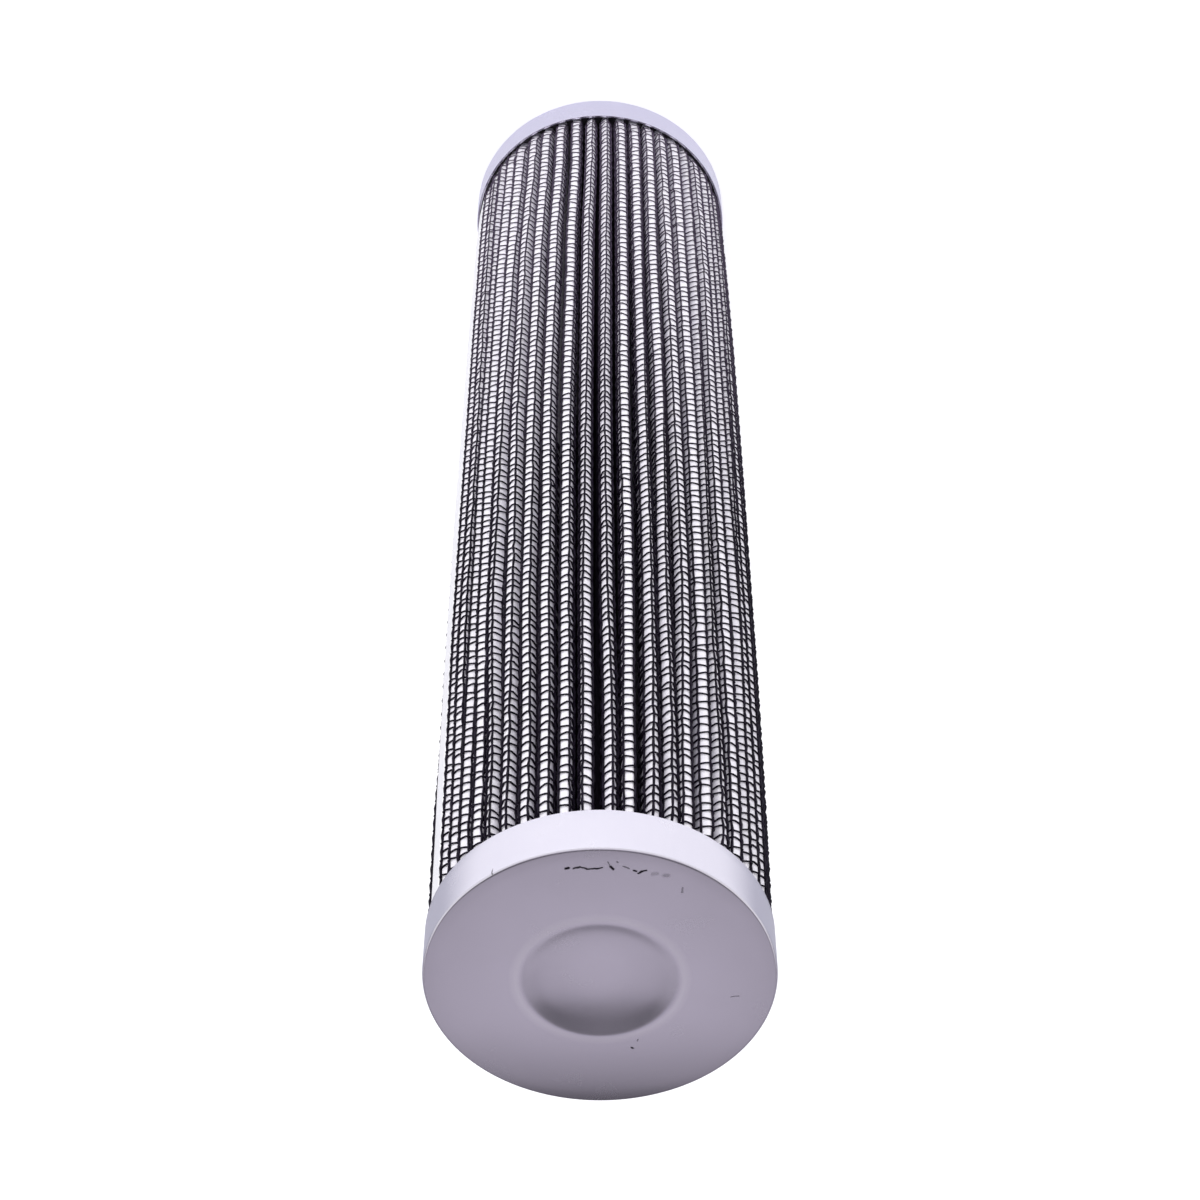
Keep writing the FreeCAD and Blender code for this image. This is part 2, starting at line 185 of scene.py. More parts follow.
class NodeSheet:
    """A new material with short ways to add and join its nodes."""

    def __init__(self, name: str) -> None:
        """Make the material with a Principled shader on its output.

        Args:
            name: the material's name.
        """
        self.material = bpy.data.materials.new(name)
        self.material.use_nodes = True
        self.tree = self.material.node_tree
        self.tree.nodes.clear()
        self.output = self.tree.nodes.new("ShaderNodeOutputMaterial")
        self.shader = self.tree.nodes.new("ShaderNodeBsdfPrincipled")
        self.join(self.shader.outputs["BSDF"], self.output.inputs["Surface"])

    def join(self, source: bpy.types.NodeSocket, target: bpy.types.NodeSocket) -> None:
        """Link two sockets."""
        self.tree.links.new(source, target)

    def add(self, kind: str, **settings: object) -> bpy.types.Node:
        """Add a node.

        Args:
            kind: its type, without the leading ShaderNode.
            settings: properties to set on it.

        Returns:
            The node.
        """
        node = self.tree.nodes.new("ShaderNode" + kind)
        for name, value in settings.items():
            setattr(node, name, value)
        return node

    def feed(self, target: bpy.types.NodeSocket,
             value: bpy.types.NodeSocket | float | tuple[float, ...]) -> None:
        """Give an input a link or a plain value."""
        if isinstance(value, bpy.types.NodeSocket):
            self.join(value, target)
        else:
            target.default_value = value

    def set(self, **values: object) -> None:
        """Set the shader's own sockets.

        Args:
            values: socket names, with _ for a space, and what each gets.
        """
        for name, value in values.items():
            self.feed(self.shader.inputs[name.replace("_", " ")], value)

    def place(self, stretch: tuple[float, float, float] = (1.0, 1.0, 1.0)
              ) -> bpy.types.NodeSocket:
        """The point's place on the piece, in metres.

        Args:
            stretch: factor along each axis.

        Returns:
            The socket that gives it.
        """
        where = self.add("TexCoord").outputs["Object"]
        if stretch == (1.0, 1.0, 1.0):
            return where
        scaled = self.add("VectorMath", operation="MULTIPLY")
        self.join(where, scaled.inputs[0])
        scaled.inputs[1].default_value = stretch
        return scaled.outputs[0]

    def noise(self, size: float, detail: float = 3.0, rough: float = 0.5,
              stretch: tuple[float, float, float] = (1.0, 1.0, 1.0)
              ) -> bpy.types.NodeSocket:
        """A noise from 0 to 1 whose patches are about this large.

        Args:
            size: patch size in millimetres.
            detail: how many finer layers it has.
            rough: how strong those are.
            stretch: factor along each axis.

        Returns:
            The socket that gives it.
        """
        node = self.add("TexNoise")
        self.join(self.place(stretch), node.inputs["Vector"])
        node.inputs["Scale"].default_value = 1.0 / (size * MM)
        node.inputs["Detail"].default_value = detail
        node.inputs["Roughness"].default_value = rough
        return node.outputs["Fac"]

    def math(self, operation: str, *values: bpy.types.NodeSocket | float,
             clamp: bool = False) -> bpy.types.NodeSocket:
        """One step of arithmetic.

        Args:
            operation: the Math node's operation.
            values: its inputs.
            clamp: whether the result is held between 0 and 1.

        Returns:
            The result's socket.
        """
        node = self.add("Math", operation=operation, use_clamp=clamp)
        for i, value in enumerate(values):
            self.feed(node.inputs[i], value)
        return node.outputs[0]

    def span(self, value: bpy.types.NodeSocket, low: float, high: float,
             to_low: float, to_high: float) -> bpy.types.NodeSocket:
        """A value moved from one range to another, and held there.

        Args:
            value: what is moved.
            low: start of the range that it comes from.
            high: end of that range.
            to_low: what low becomes.
            to_high: what high becomes.

        Returns:
            The result's socket.
        """
        node = self.add("MapRange", clamp=True)
        self.join(value, node.inputs["Value"])
        for name, number in (("From Min", low), ("From Max", high),
                             ("To Min", to_low), ("To Max", to_high)):
            node.inputs[name].default_value = number
        return node.outputs["Result"]

    def mix(self, share: bpy.types.NodeSocket | float,
            first: bpy.types.NodeSocket | tuple[float, ...],
            second: bpy.types.NodeSocket | tuple[float, ...],
            blend: str = "MIX") -> bpy.types.NodeSocket:
        """Two colours mixed.

        Args:
            share: how much of the second there is.
            first: colour where the share is 0.
            second: colour where the share is 1.
            blend: the Mix node's blend type.

        Returns:
            The mixed colour's socket.
        """
        node = self.add("Mix", data_type="RGBA", blend_type=blend)
        self.feed(node.inputs[0], share)
        self.feed(node.inputs[6], first)
        self.feed(node.inputs[7], second)
        return node.outputs[2]

    def bump(self, height: bpy.types.NodeSocket, depth: float,
             strength: float = 1.0, under: bpy.types.NodeSocket | None = None
             ) -> bpy.types.NodeSocket:
        """A bumped normal.

        Args:
            height: from 0 to 1.
            depth: how deep that is, in millimetres.
            strength: share of it that shows.
            under: another bump below this one.

        Returns:
            The normal's socket.
        """
        node = self.add("Bump")
        node.inputs["Strength"].default_value = strength
        node.inputs["Distance"].default_value = depth * MM
        self.join(height, node.inputs["Height"])
        if under is not None:
            self.join(under, node.inputs["Normal"])
        return node.outputs["Normal"]


Colour = tuple[float, float, float, float]


@dataclass(frozen=True)
class Scuff:
    """One small dark rub mark on the closed face: a short line and its width."""

    start: tuple[float, float]
    end: tuple[float, float]
    width: float
    dark: float


@dataclass(frozen=True)
class PressedSteel:
    """Satin zinc-plated sheet of the two caps, with grain, haze and a few scuffs; the
    closed face has painted shade towards its edge and a lighter ring round its dish.
    """

    name: str = "cap_pressed_steel"
    light: Colour = (0.86, 0.835, 0.905, 1.0)
    dull: Colour = (0.83, 0.805, 0.88, 1.0)
    light_ring_radius: float = 0.0
    face_height: float = 0.0
    rim_painted_shade: float = 0.9
    scuff_dark: Colour = (0.02, 0.016, 0.024, 1.0)
    scuffs: tuple[Scuff, ...] = ()

    def scuff_mask(self, sheet: NodeSheet) -> bpy.types.NodeSocket:
        """How much of a scuff there is at a point.

        Args:
            sheet: the material's nodes.

        Returns:
            The mask's socket, 0 on clean metal.
        """
        wobble = sheet.add("TexNoise")
        sheet.join(sheet.place(), wobble.inputs["Vector"])
        wobble.inputs["Scale"].default_value = 1.0 / (0.8 * MM)
        centred = sheet.add("VectorMath", operation="SUBTRACT")
        sheet.join(wobble.outputs["Color"], centred.inputs[0])
        centred.inputs[1].default_value = (0.5, 0.5, 0.5)
        spread = sheet.add("VectorMath", operation="MULTIPLY")
        sheet.join(centred.outputs[0], spread.inputs[0])
        spread.inputs[1].default_value = (0.45 * MM, 0.45 * MM, 0.0)
        moved = sheet.add("VectorMath", operation="ADD")
        sheet.join(sheet.place((1.0, 1.0, 0.0)), moved.inputs[0])
        sheet.join(spread.outputs[0], moved.inputs[1])
        total: bpy.types.NodeSocket | float = 0.0
        for mark in self.scuffs:
            start = Vector((*mark.start, 0.0)) * MM
            end = Vector((*mark.end, 0.0)) * MM
            run = end - start
            from_start = sheet.add("VectorMath", operation="SUBTRACT")
            sheet.join(moved.outputs[0], from_start.inputs[0])
            from_start.inputs[1].default_value = start
            along = sheet.add("VectorMath", operation="DOT_PRODUCT")
            sheet.join(from_start.outputs[0], along.inputs[0])
            along.inputs[1].default_value = run / max(run.length_squared, 1e-12)
            share = sheet.math("MULTIPLY", along.outputs["Value"], 1.0, clamp=True)
            nearest = sheet.add("VectorMath", operation="SCALE")
            nearest.inputs[0].default_value = run
            sheet.join(share, nearest.inputs["Scale"])
            gap = sheet.add("VectorMath", operation="DISTANCE")
            sheet.join(from_start.outputs[0], gap.inputs[0])
            sheet.join(nearest.outputs[0], gap.inputs[1])
            half = mark.width / 2 * MM
            near = sheet.span(gap.outputs["Value"], half * 0.5, half * 1.3, mark.dark, 0.0)
            total = sheet.math("MAXIMUM", near, total)
        return sheet.math("MULTIPLY", total, self.on_face(sheet, 1.4))

    def on_face(self, sheet: NodeSheet, depth: float) -> bpy.types.NodeSocket:
        """Whether a point lies on the face rather than on the skirt.

        Args:
            sheet: the material's nodes.
            depth: how far below the face that still counts, in millimetres.

        Returns:
            The mask's socket.
        """
        apart = sheet.add("SeparateXYZ")
        sheet.join(sheet.place(), apart.inputs[0])
        return sheet.span(apart.outputs["Z"], (self.face_height - depth) * MM,
                          (self.face_height - depth * 0.6) * MM, 0.0, 1.0)

    def light_ring(self, sheet: NodeSheet) -> bpy.types.NodeSocket:
        """A lighter ring of colour round the dish.

        Args:
            sheet: the material's nodes.

        Returns:
            The mask's socket.
        """
        flat = sheet.add("VectorMath", operation="LENGTH")
        sheet.join(sheet.place((1.0, 1.0, 0.0)), flat.inputs[0])
        inside = sheet.span(flat.outputs["Value"], (self.light_ring_radius - 0.5) * MM,
                            self.light_ring_radius * MM, 0.0, 0.8)
        outside = sheet.span(flat.outputs["Value"], (self.light_ring_radius + 0.2) * MM,
                             (self.light_ring_radius + 1.3) * MM, 1.0, 0.0)
        return sheet.math("MULTIPLY", inside, outside)

    def material(self) -> bpy.types.Material:
        """Make the material."""
        sheet = NodeSheet(self.name)
        haze = sheet.noise(9.0, 4.0)
        grain = sheet.noise(0.16, 2.0, 0.6)
        drawn = sheet.noise(0.5, 3.0, 0.6, (1.0, 1.0, 0.045))
        tone = sheet.math("ADD", sheet.math("MULTIPLY", haze, 0.6),
                          sheet.math("MULTIPLY", drawn, 0.4))
        colour = sheet.mix(sheet.span(tone, 0.3, 0.7, 0.0, 1.0), self.dull, self.light)
        rough = sheet.math("ADD", sheet.span(haze, 0.3, 0.7, 0.215, 0.275),
                           sheet.span(grain, 0.2, 0.8, -0.015, 0.015))
        if self.light_ring_radius > 0.0:
            flat = sheet.add("VectorMath", operation="LENGTH")
            sheet.join(sheet.place((1.0, 1.0, 0.0)), flat.inputs[0])
            # Painted shade: the face darkens from 14 to 24.5 mm out towards its edge, for
            # the dimmer reflections there.
            rim = sheet.span(flat.outputs["Value"], 14.0 * MM, 24.5 * MM, 0.0, 1.0)
            rim = sheet.math("MULTIPLY", rim, self.on_face(sheet, 0.5))
            rim_shaded = tuple(self.rim_painted_shade * c for c in self.light[:3]) + (1.0,)
            colour = sheet.mix(rim, colour, rim_shaded)
            # The colour turns lighter in a ring round the dish.
            colour = sheet.mix(self.light_ring(sheet), colour, (0.97, 0.95, 1.0, 1.0))
        if self.scuffs:
            mask = self.scuff_mask(sheet)
            colour = sheet.mix(mask, colour, self.scuff_dark)
            rough = sheet.math("ADD", rough, sheet.math("MULTIPLY", mask, 0.3))
        sheet.set(Base_Color=colour, Roughness=rough, Metallic=1.0,
                  Normal=sheet.bump(drawn, 0.005, 0.25))
        return sheet.material


@dataclass(frozen=True)
class TurnedSteel:
    """Bare steel with the fine rings of a lathe tool or the lines of a drawn tube."""

    name: str
    light: Colour = (0.62, 0.62, 0.66, 1.0)
    dark: Colour = (0.42, 0.42, 0.46, 1.0)
    line: float = 0.25
    rings: bool = True
    rough: float = 0.34

    def material(self) -> bpy.types.Material:
        """Make the material."""
        sheet = NodeSheet(self.name)
        stretch = (0.03, 0.03, 1.0) if self.rings else (1.0, 1.0, 0.03)
        lines = sheet.noise(self.line, 3.0, 0.6, stretch)
        haze = sheet.noise(6.0, 4.0)
        tone = sheet.math("ADD", sheet.math("MULTIPLY", haze, 0.5),
                          sheet.math("MULTIPLY", lines, 0.5))
        colour = sheet.mix(sheet.span(tone, 0.32, 0.68, 0.0, 1.0), self.dark, self.light)
        rough = sheet.span(lines, 0.2, 0.8, self.rough - 0.06, self.rough + 0.08)
        sheet.set(Base_Color=colour, Roughness=rough, Metallic=1.0,
                  Normal=sheet.bump(lines, 0.01, 0.4))
        return sheet.material


@dataclass(frozen=True)
class CoatedWire:
    """Black epoxy coat on the wires of the outer cloth, with painted light towards the
    open end.
    """

    name: str = "black_coated_wire"
    coat: Colour = (0.008, 0.0055, 0.012, 1.0)
    worn: Colour = (0.018, 0.013, 0.026, 1.0)
    open_end_painted_light: Colour = (0.088, 0.068, 0.108, 1.0)

    def material(self) -> bpy.types.Material:
        """Make the material."""
        sheet = NodeSheet(self.name)
        patches = sheet.noise(2.4, 3.0)
        grit = sheet.noise(0.12, 2.0, 0.6)
        colour = sheet.mix(sheet.span(patches, 0.45, 0.75, 0.0, 1.0), self.coat, self.worn)
        # Painted light: over the lowest 130 mm the wires turn lighter and more purple
        # towards the open end.
        apart = sheet.add("SeparateXYZ")
        sheet.join(sheet.place(), apart.inputs[0])
        colour = sheet.mix(sheet.span(apart.outputs["Z"], 0.0, 0.13, 1.0, 0.0), colour,
                           self.open_end_painted_light)
        sheet.set(Base_Color=colour, Roughness=sheet.span(grit, 0.2, 0.8, 0.46, 0.62),
                  Specular_IOR_Level=0.09, Normal=sheet.bump(grit, 0.01, 0.4))
        return sheet.material


@dataclass(frozen=True)
class FilterFleece:
    """White fleece over glass fibre: clean on the crests, painted dark with depth below
    them for shade.
    """

    name: str = "white_filter_fleece"
    clean: Colour = (0.92, 0.90, 0.945, 1.0)
    fibre: Colour = (0.85, 0.825, 0.88, 1.0)
    shade: Colour = (0.014, 0.010, 0.019, 1.0)
    flank_painted_shade: Colour = (0.815, 0.78, 0.875, 1.0)
    crest: float = 1.7
    root: float = 5.2

    def material(self) -> bpy.types.Material:
        """Make the material."""
        sheet = NodeSheet(self.name)
        strands = sheet.noise(0.5, 4.0, 0.65)
        cloud = sheet.noise(7.0, 3.0)
        tone = sheet.math("ADD", sheet.math("MULTIPLY", strands, 0.6),
                          sheet.math("MULTIPLY", cloud, 0.4))
        colour = sheet.mix(sheet.span(tone, 0.35, 0.65, 0.0, 1.0), self.fibre, self.clean)
        # Painted shade: by depth below the crest the fleece turns lavender-grey on the
        # upper flanks, then near black deeper in the folds, for shade and for the black
        # cloth left out there.
        depth = sheet.add("Attribute", attribute_name="crest_depth")
        colour = sheet.mix(sheet.span(depth.outputs["Fac"], 0.5, self.crest, 0.0, 1.0),
                           colour, self.flank_painted_shade)
        share = sheet.span(depth.outputs["Fac"], self.crest, self.root, 0.0, 1.0)
        share = sheet.math("POWER", share, 0.6)
        sheet.set(Base_Color=sheet.mix(share, colour, self.shade), Roughness=0.86,
                  Specular_IOR_Level=0.25, Normal=sheet.bump(strands, 0.05, 0.5))
        return sheet.material


@dataclass(frozen=True)
class FineCloth:
    """Bright fine cloth on the clean side of the media, its weave too fine to model."""

    name: str = "inner_fine_cloth"
    wire: Colour = (0.62, 0.62, 0.66, 1.0)
    gap: Colour = (0.10, 0.10, 0.11, 1.0)
    pitch: float = 0.7

    def material(self) -> bpy.types.Material:
        """Make the material."""
        sheet = NodeSheet(self.name)
        cells = sheet.add("TexVoronoi", feature="F1")
        sheet.join(sheet.place(), cells.inputs["Vector"])
        cells.inputs["Scale"].default_value = 1.0 / (self.pitch * MM)
        cells.inputs["Randomness"].default_value = 0.25
        weave = sheet.span(cells.outputs["Distance"], 0.25, 0.6, 0.0, 1.0)
        sheet.set(Base_Color=sheet.mix(weave, self.gap, self.wire), Roughness=0.42,
                  Metallic=1.0, Normal=sheet.bump(weave, 0.08, 0.6))
        return sheet.material


@dataclass(frozen=True)
class MouldedFinish:
    """A cast, moulded or poured surface: one colour with clouds, specks and a skin."""

    name: str
    light: Colour
    dark: Colour
    rough: float
    cloud: float = 3.0
    grain: float = 0.3
    depth: float = 0.02
    gloss: float = 0.5

    def material(self) -> bpy.types.Material:
        """Make the material."""
        sheet = NodeSheet(self.name)
        cloud = sheet.noise(self.cloud, 4.0)
        grain = sheet.noise(self.grain, 3.0, 0.6)
        tone = sheet.math("ADD", sheet.math("MULTIPLY", cloud, 0.65),
                          sheet.math("MULTIPLY", grain, 0.35))
        colour = sheet.mix(sheet.span(tone, 0.35, 0.65, 0.0, 1.0), self.dark, self.light)
        rough = sheet.span(grain, 0.2, 0.8, self.rough - 0.05, self.rough + 0.05)
        sheet.set(Base_Color=colour, Roughness=rough, Specular_IOR_Level=self.gloss,
                  Normal=sheet.bump(grain, self.depth, 0.5))
        return sheet.material


# ---------------------------------------------------------------- pleated pack


@dataclass(frozen=True)
class FoldLayout:
    """Where the folds of the pack stand, how they lean and how far out they reach.

    Fold 0 is the seam's. The others are counted from it against the azimuth.
    """

    low: float
    high: float
    open_skirt: float
    closed_skirt: float
    root_radius: float
    swell_radius: float = 26.3
    open_dip: float = 0.85
    open_dip_length: float = 2.2
    closed_dip: float = 0.35
    closed_dip_length: float = 3.0
    seam_drop: float = 0.55
    last_drop: float = 0.55
    tuck: float = 0.55
    tuck_from: float = 196.0
    count: int = 51
    seam_azimuth: float = -14.6
    wire_pitch: float = 1.76
    half_width: float = 0.93
    stiffness: float = 0.85
    bend_reach: float = 0.38
    taper: float = 0.045
    seed: int = 26

    # The pack swells between its caps: how far the wires reach at these heights
    swell_at: tuple[float, ...] = (0.0, 15.0, 32.0, 60.0, 110.0, 160.0, 192.0, 222.0)
    swell: tuple[float, ...] = (25.6, 26.05, 26.35, 26.56, 26.6, 26.52, 26.25, 25.85)
    wire_stand: float = 0.26

    # Lean of the folds 1 to 19, in degrees against the azimuth, at these distances
    # below the closed face
    lean_at: tuple[float, ...] = (21.0, 65.0, 117.0, 169.0, 204.0)
    leans: tuple[tuple[float, ...], ...] = (
        (2.4, 1.4, 1.2, 0.2, -1.0), (2.4, 0.4, 1.1, 0.2, -0.6),
        (1.4, 1.2, -0.2, -0.2, -0.9), (1.6, -1.0, -2.2, -2.4, -1.0),
        (0.2, -3.0, -3.4, -2.9, -2.2), (-0.4, -1.3, -2.6, -2.2, -0.4),
        (0.4, -1.5, -2.2, -1.9, -0.8), (0.3, -1.0, -2.2, -1.6, 0.0),
        (0.1, -0.5, -1.2, -0.9, 0.6), (0.0, -0.8, -1.0, -0.6, 0.7),
        (1.7, 0.3, -0.2, 0.2, 0.7), (0.5, 0.8, 0.1, 0.5, 0.7), (2.4, 2.2, 1.2, 0.5, 0.4),
        (2.1, 1.1, 1.7, 0.1, 0.2), (-0.1, 1.6, 1.0, 0.5, 0.1),
        (2.0, 2.2, 2.1, 1.1, 0.8), (1.6, 0.2, 0.6, 1.8, 1.2),
        (1.5, 1.4, 1.0, 1.7, 1.0), (1.0, 2.4, 0.4, 0.6, 1.0),
    )
    first_lean: int = 1

    # Where an axial wire crosses the crest's middle near the closed end, in
    # millimetres, for the same folds
    seen_phases: tuple[float, ...] = (
        -0.5, 0.3, 0.45, 0.6, 0.7, 0.8, -0.3, 0.0, 0.75, -0.45, -0.55, 0.85, 0.2,
        -0.6, 0.5)
    seen_drifts: tuple[float, ...] = (
        0.3, 1.2, 0.6, 0.6, 0.36, 0.2, 0.7, 0.0, 0.24, 1.1, 1.3, 0.1, 0.3, 0.4, 0.2)
    first_seen: int = 4

    TABLE_ROWS: ClassVar[int] = 33
    TABLE_STEPS: ClassVar[int] = 161
    TABLE_REACH: ClassVar[float] = 4.0

    def pitch(self) -> float:
        """Angle from one fold to the next, in degrees."""
        return 360.0 / self.count

    @cached_property
    def lean_table(self) -> np.ndarray:
        """Lean of every fold at the measured heights, in degrees, (folds, heights)."""
        rng = np.random.default_rng(self.seed)
        offset = rng.normal(0.0, 0.55, (self.count, 1))
        drift = rng.normal(0.0, 0.45, (self.count, len(self.lean_at)))
        table = np.clip(offset + drift, -1.5, 1.5)
        measured = np.array(self.leans)
        table[self.first_lean:self.first_lean + len(measured)] = measured
        # beside the seam strip nothing leans towards it
        table[0] = 0.0
        table[-1] = (-0.8, -1.2, -2.2, -1.8, -1.0)
        table[-2] = np.clip(table[-2], -1.2, 0.0) - np.array((0.0, 0.3, 0.9, 0.7, 0.2))
        return table

    def lean(self, fold: np.ndarray, height: np.ndarray) -> np.ndarray:
        """Lean of a fold at a height.

        Args:
            fold: fold numbers.
            height: heights, in millimetres.

        Returns:
            Angles against the azimuth, in degrees.
        """
        table = self.lean_table
        below = np.clip((self.high - height), 0.0, None)
        at = np.array(self.lean_at)
        place = np.interp(below, at, np.arange(len(at)))
        lower = np.clip(np.floor(place).astype(int), 0, len(at) - 2)
        share = smooth_step(place - lower)
        fold, lower = np.broadcast_arrays(fold, lower)
        return table[fold, lower] * (1 - share) + table[fold, lower + 1] * share

    def crest(self, fold: np.ndarray, height: np.ndarray) -> np.ndarray:
        """Reach of a fold's crest, which dips to pass inside the two skirts.

        Args:
            fold: fold numbers.
            height: heights, in millimetres.

        Returns:
            Radii, in millimetres.
        """
        open_rise = smooth_step((height - self.open_skirt + 0.6) / self.open_dip_length)
        closed_rise = smooth_step((self.closed_skirt - height) / self.closed_dip_length)
        ripple = 0.04 * np.sin(height / 23.0 + fold * 2.4) + 0.03 * np.sin(fold * 5.1)
        swell = np.interp(height, self.swell_at, self.swell) - self.wire_stand
        tuck = self.tuck * smooth_step((self.tuck_from - height) / 30.0)
        last = self.last_drop * smooth_step((self.closed_skirt - height) / 40.0)
        swell = (swell - self.seam_drop * (fold == 0) - tuck * (fold >= self.count - 2)
                 - last * (fold == self.count - 1))
        return (swell - 0.07 + ripple - self.open_dip * (1.0 - open_rise)
                - self.closed_dip * (1.0 - closed_rise))

    @cached_property
    def phases(self) -> tuple[np.ndarray, np.ndarray, np.ndarray]:
        """Where the axial wires lie on each fold.

        Returns:
            Offset at the closed end, drift over the length and bow, by fold.
        """
        rng = np.random.default_rng(self.seed + 25)
        start = rng.uniform(-self.wire_pitch / 2, self.wire_pitch / 2, self.count)
        seen = np.array(self.seen_phases)
        start[self.first_seen:self.first_seen + len(seen)] = seen
        drift = rng.normal(0.0, 0.45, self.count)
        drift[self.first_seen:self.first_seen + len(seen)] = self.seen_drifts
        return start, drift, rng.normal(0.0, 0.08, self.count)

    def phase(self, fold: np.ndarray, height: np.ndarray) -> np.ndarray:
        """Offset of the axial wires on a fold at a height, in millimetres."""
        start, drift, bow = self.phases
        share = (self.closed_skirt - height) / (self.closed_skirt - self.open_skirt)
        return start[fold] + drift[fold] * share + bow[fold] * np.sin(share * 7.0 + fold)

    @cached_property
    def crest_table(self) -> tuple[np.ndarray, np.ndarray, np.ndarray]:
        """Shape of the cloth over a crest, which bends where axial wires cross it.

        Returns:
            Way aside, depth below the crest and turn of the cloth, each by the
            axial wires' offset and by the way along the cloth.
        """
        offsets = np.linspace(-self.wire_pitch / 2, self.wire_pitch / 2, self.TABLE_ROWS)
        along = np.linspace(-self.TABLE_REACH, self.TABLE_REACH, self.TABLE_STEPS)
        step = along[1] - along[0]
        quarter = self.half_width * math.pi / 2

        def turned(way: np.ndarray) -> np.ndarray:
            """Turn of an evenly bent crest, added up along the cloth."""
            held = np.minimum(np.abs(way), quarter)
            return held ** 2 / (2 * self.half_width) + (np.abs(way) - held) * math.pi / 2

        even = np.clip(along / self.half_width, -math.pi / 2, math.pi / 2)
        tables = []
        for offset in offsets:
            steps = []
            for shift in np.linspace(-self.bend_reach, self.bend_reach, 9):
                start = np.floor((along + shift - offset) / self.wire_pitch)
                start = offset + start * self.wire_pitch
                steps.append((turned(start + self.wire_pitch) - turned(start))
                             / self.wire_pitch)
            turn = (1 - self.stiffness) * even + self.stiffness * np.mean(steps, axis=0)
            aside = np.cumsum(np.cos(turn)) * step
            depth = np.cumsum(np.sin(turn)) * step
            tables.append((aside - (aside[0] + aside[-1]) / 2, depth - depth.min(), turn))
        aside, depth, turn = (np.array(rows) for rows in zip(*tables))
        return aside, depth, turn

    def place(self, fold: np.ndarray, along: np.ndarray, height: np.ndarray,
              proud: np.ndarray | float) -> np.ndarray:
        """A point on the cloth or near it.

        Args:
            fold: fold numbers.
            along: way along the cloth from the middle of the crest, in millimetres.
            height: heights, in millimetres.
            proud: how far outside the cloth's middle the point lies.

        Returns:
            Points, (..., 3), in millimetres.
        """
        fold, along, height, proud = np.broadcast_arrays(fold, along, height, proud)
        offset = self.phase(fold, height)
        offset = offset - np.round(offset / self.wire_pitch) * self.wire_pitch
        row = (offset / self.wire_pitch + 0.5) * (self.TABLE_ROWS - 1)
        held = np.clip(along, -self.TABLE_REACH, self.TABLE_REACH)
        column = (held / self.TABLE_REACH + 1.0) / 2 * (self.TABLE_STEPS - 1)
        low_row = np.clip(np.floor(row).astype(int), 0, self.TABLE_ROWS - 2)
        low_column = np.clip(np.floor(column).astype(int), 0, self.TABLE_STEPS - 2)
        row, column = row - low_row, column - low_column

        def read(table: np.ndarray) -> np.ndarray:
            """Read a table between its rows and columns."""
            return ((table[low_row, low_column] * (1 - column)
                     + table[low_row, low_column + 1] * column) * (1 - row)
                    + (table[low_row + 1, low_column] * (1 - column)
                       + table[low_row + 1, low_column + 1] * column) * row)

        aside, depth, turn = (read(table) for table in self.crest_table)
        depth = depth + np.abs(along - held)
        aside = aside * (1.0 - self.taper * np.clip(depth - 1.0, 0.0, 4.0))
        reach = self.crest(fold, height) - depth + proud * np.cos(turn)
        reach = np.maximum(reach, self.root_radius + np.minimum(proud, 0.0))
        aside = aside + proud * np.sin(turn)
        share = (reach - self.root_radius) / (self.swell_radius - self.root_radius)
        lean = self.lean(fold, height) * np.clip(share, 0.0, 1.0)
        azimuth = np.radians(self.seam_azimuth - fold * self.pitch() - lean)
        cosine, sine = np.cos(azimuth), np.sin(azimuth)
        return np.stack([reach * cosine + aside * sine,
                         reach * sine - aside * cosine, height], axis=-1)


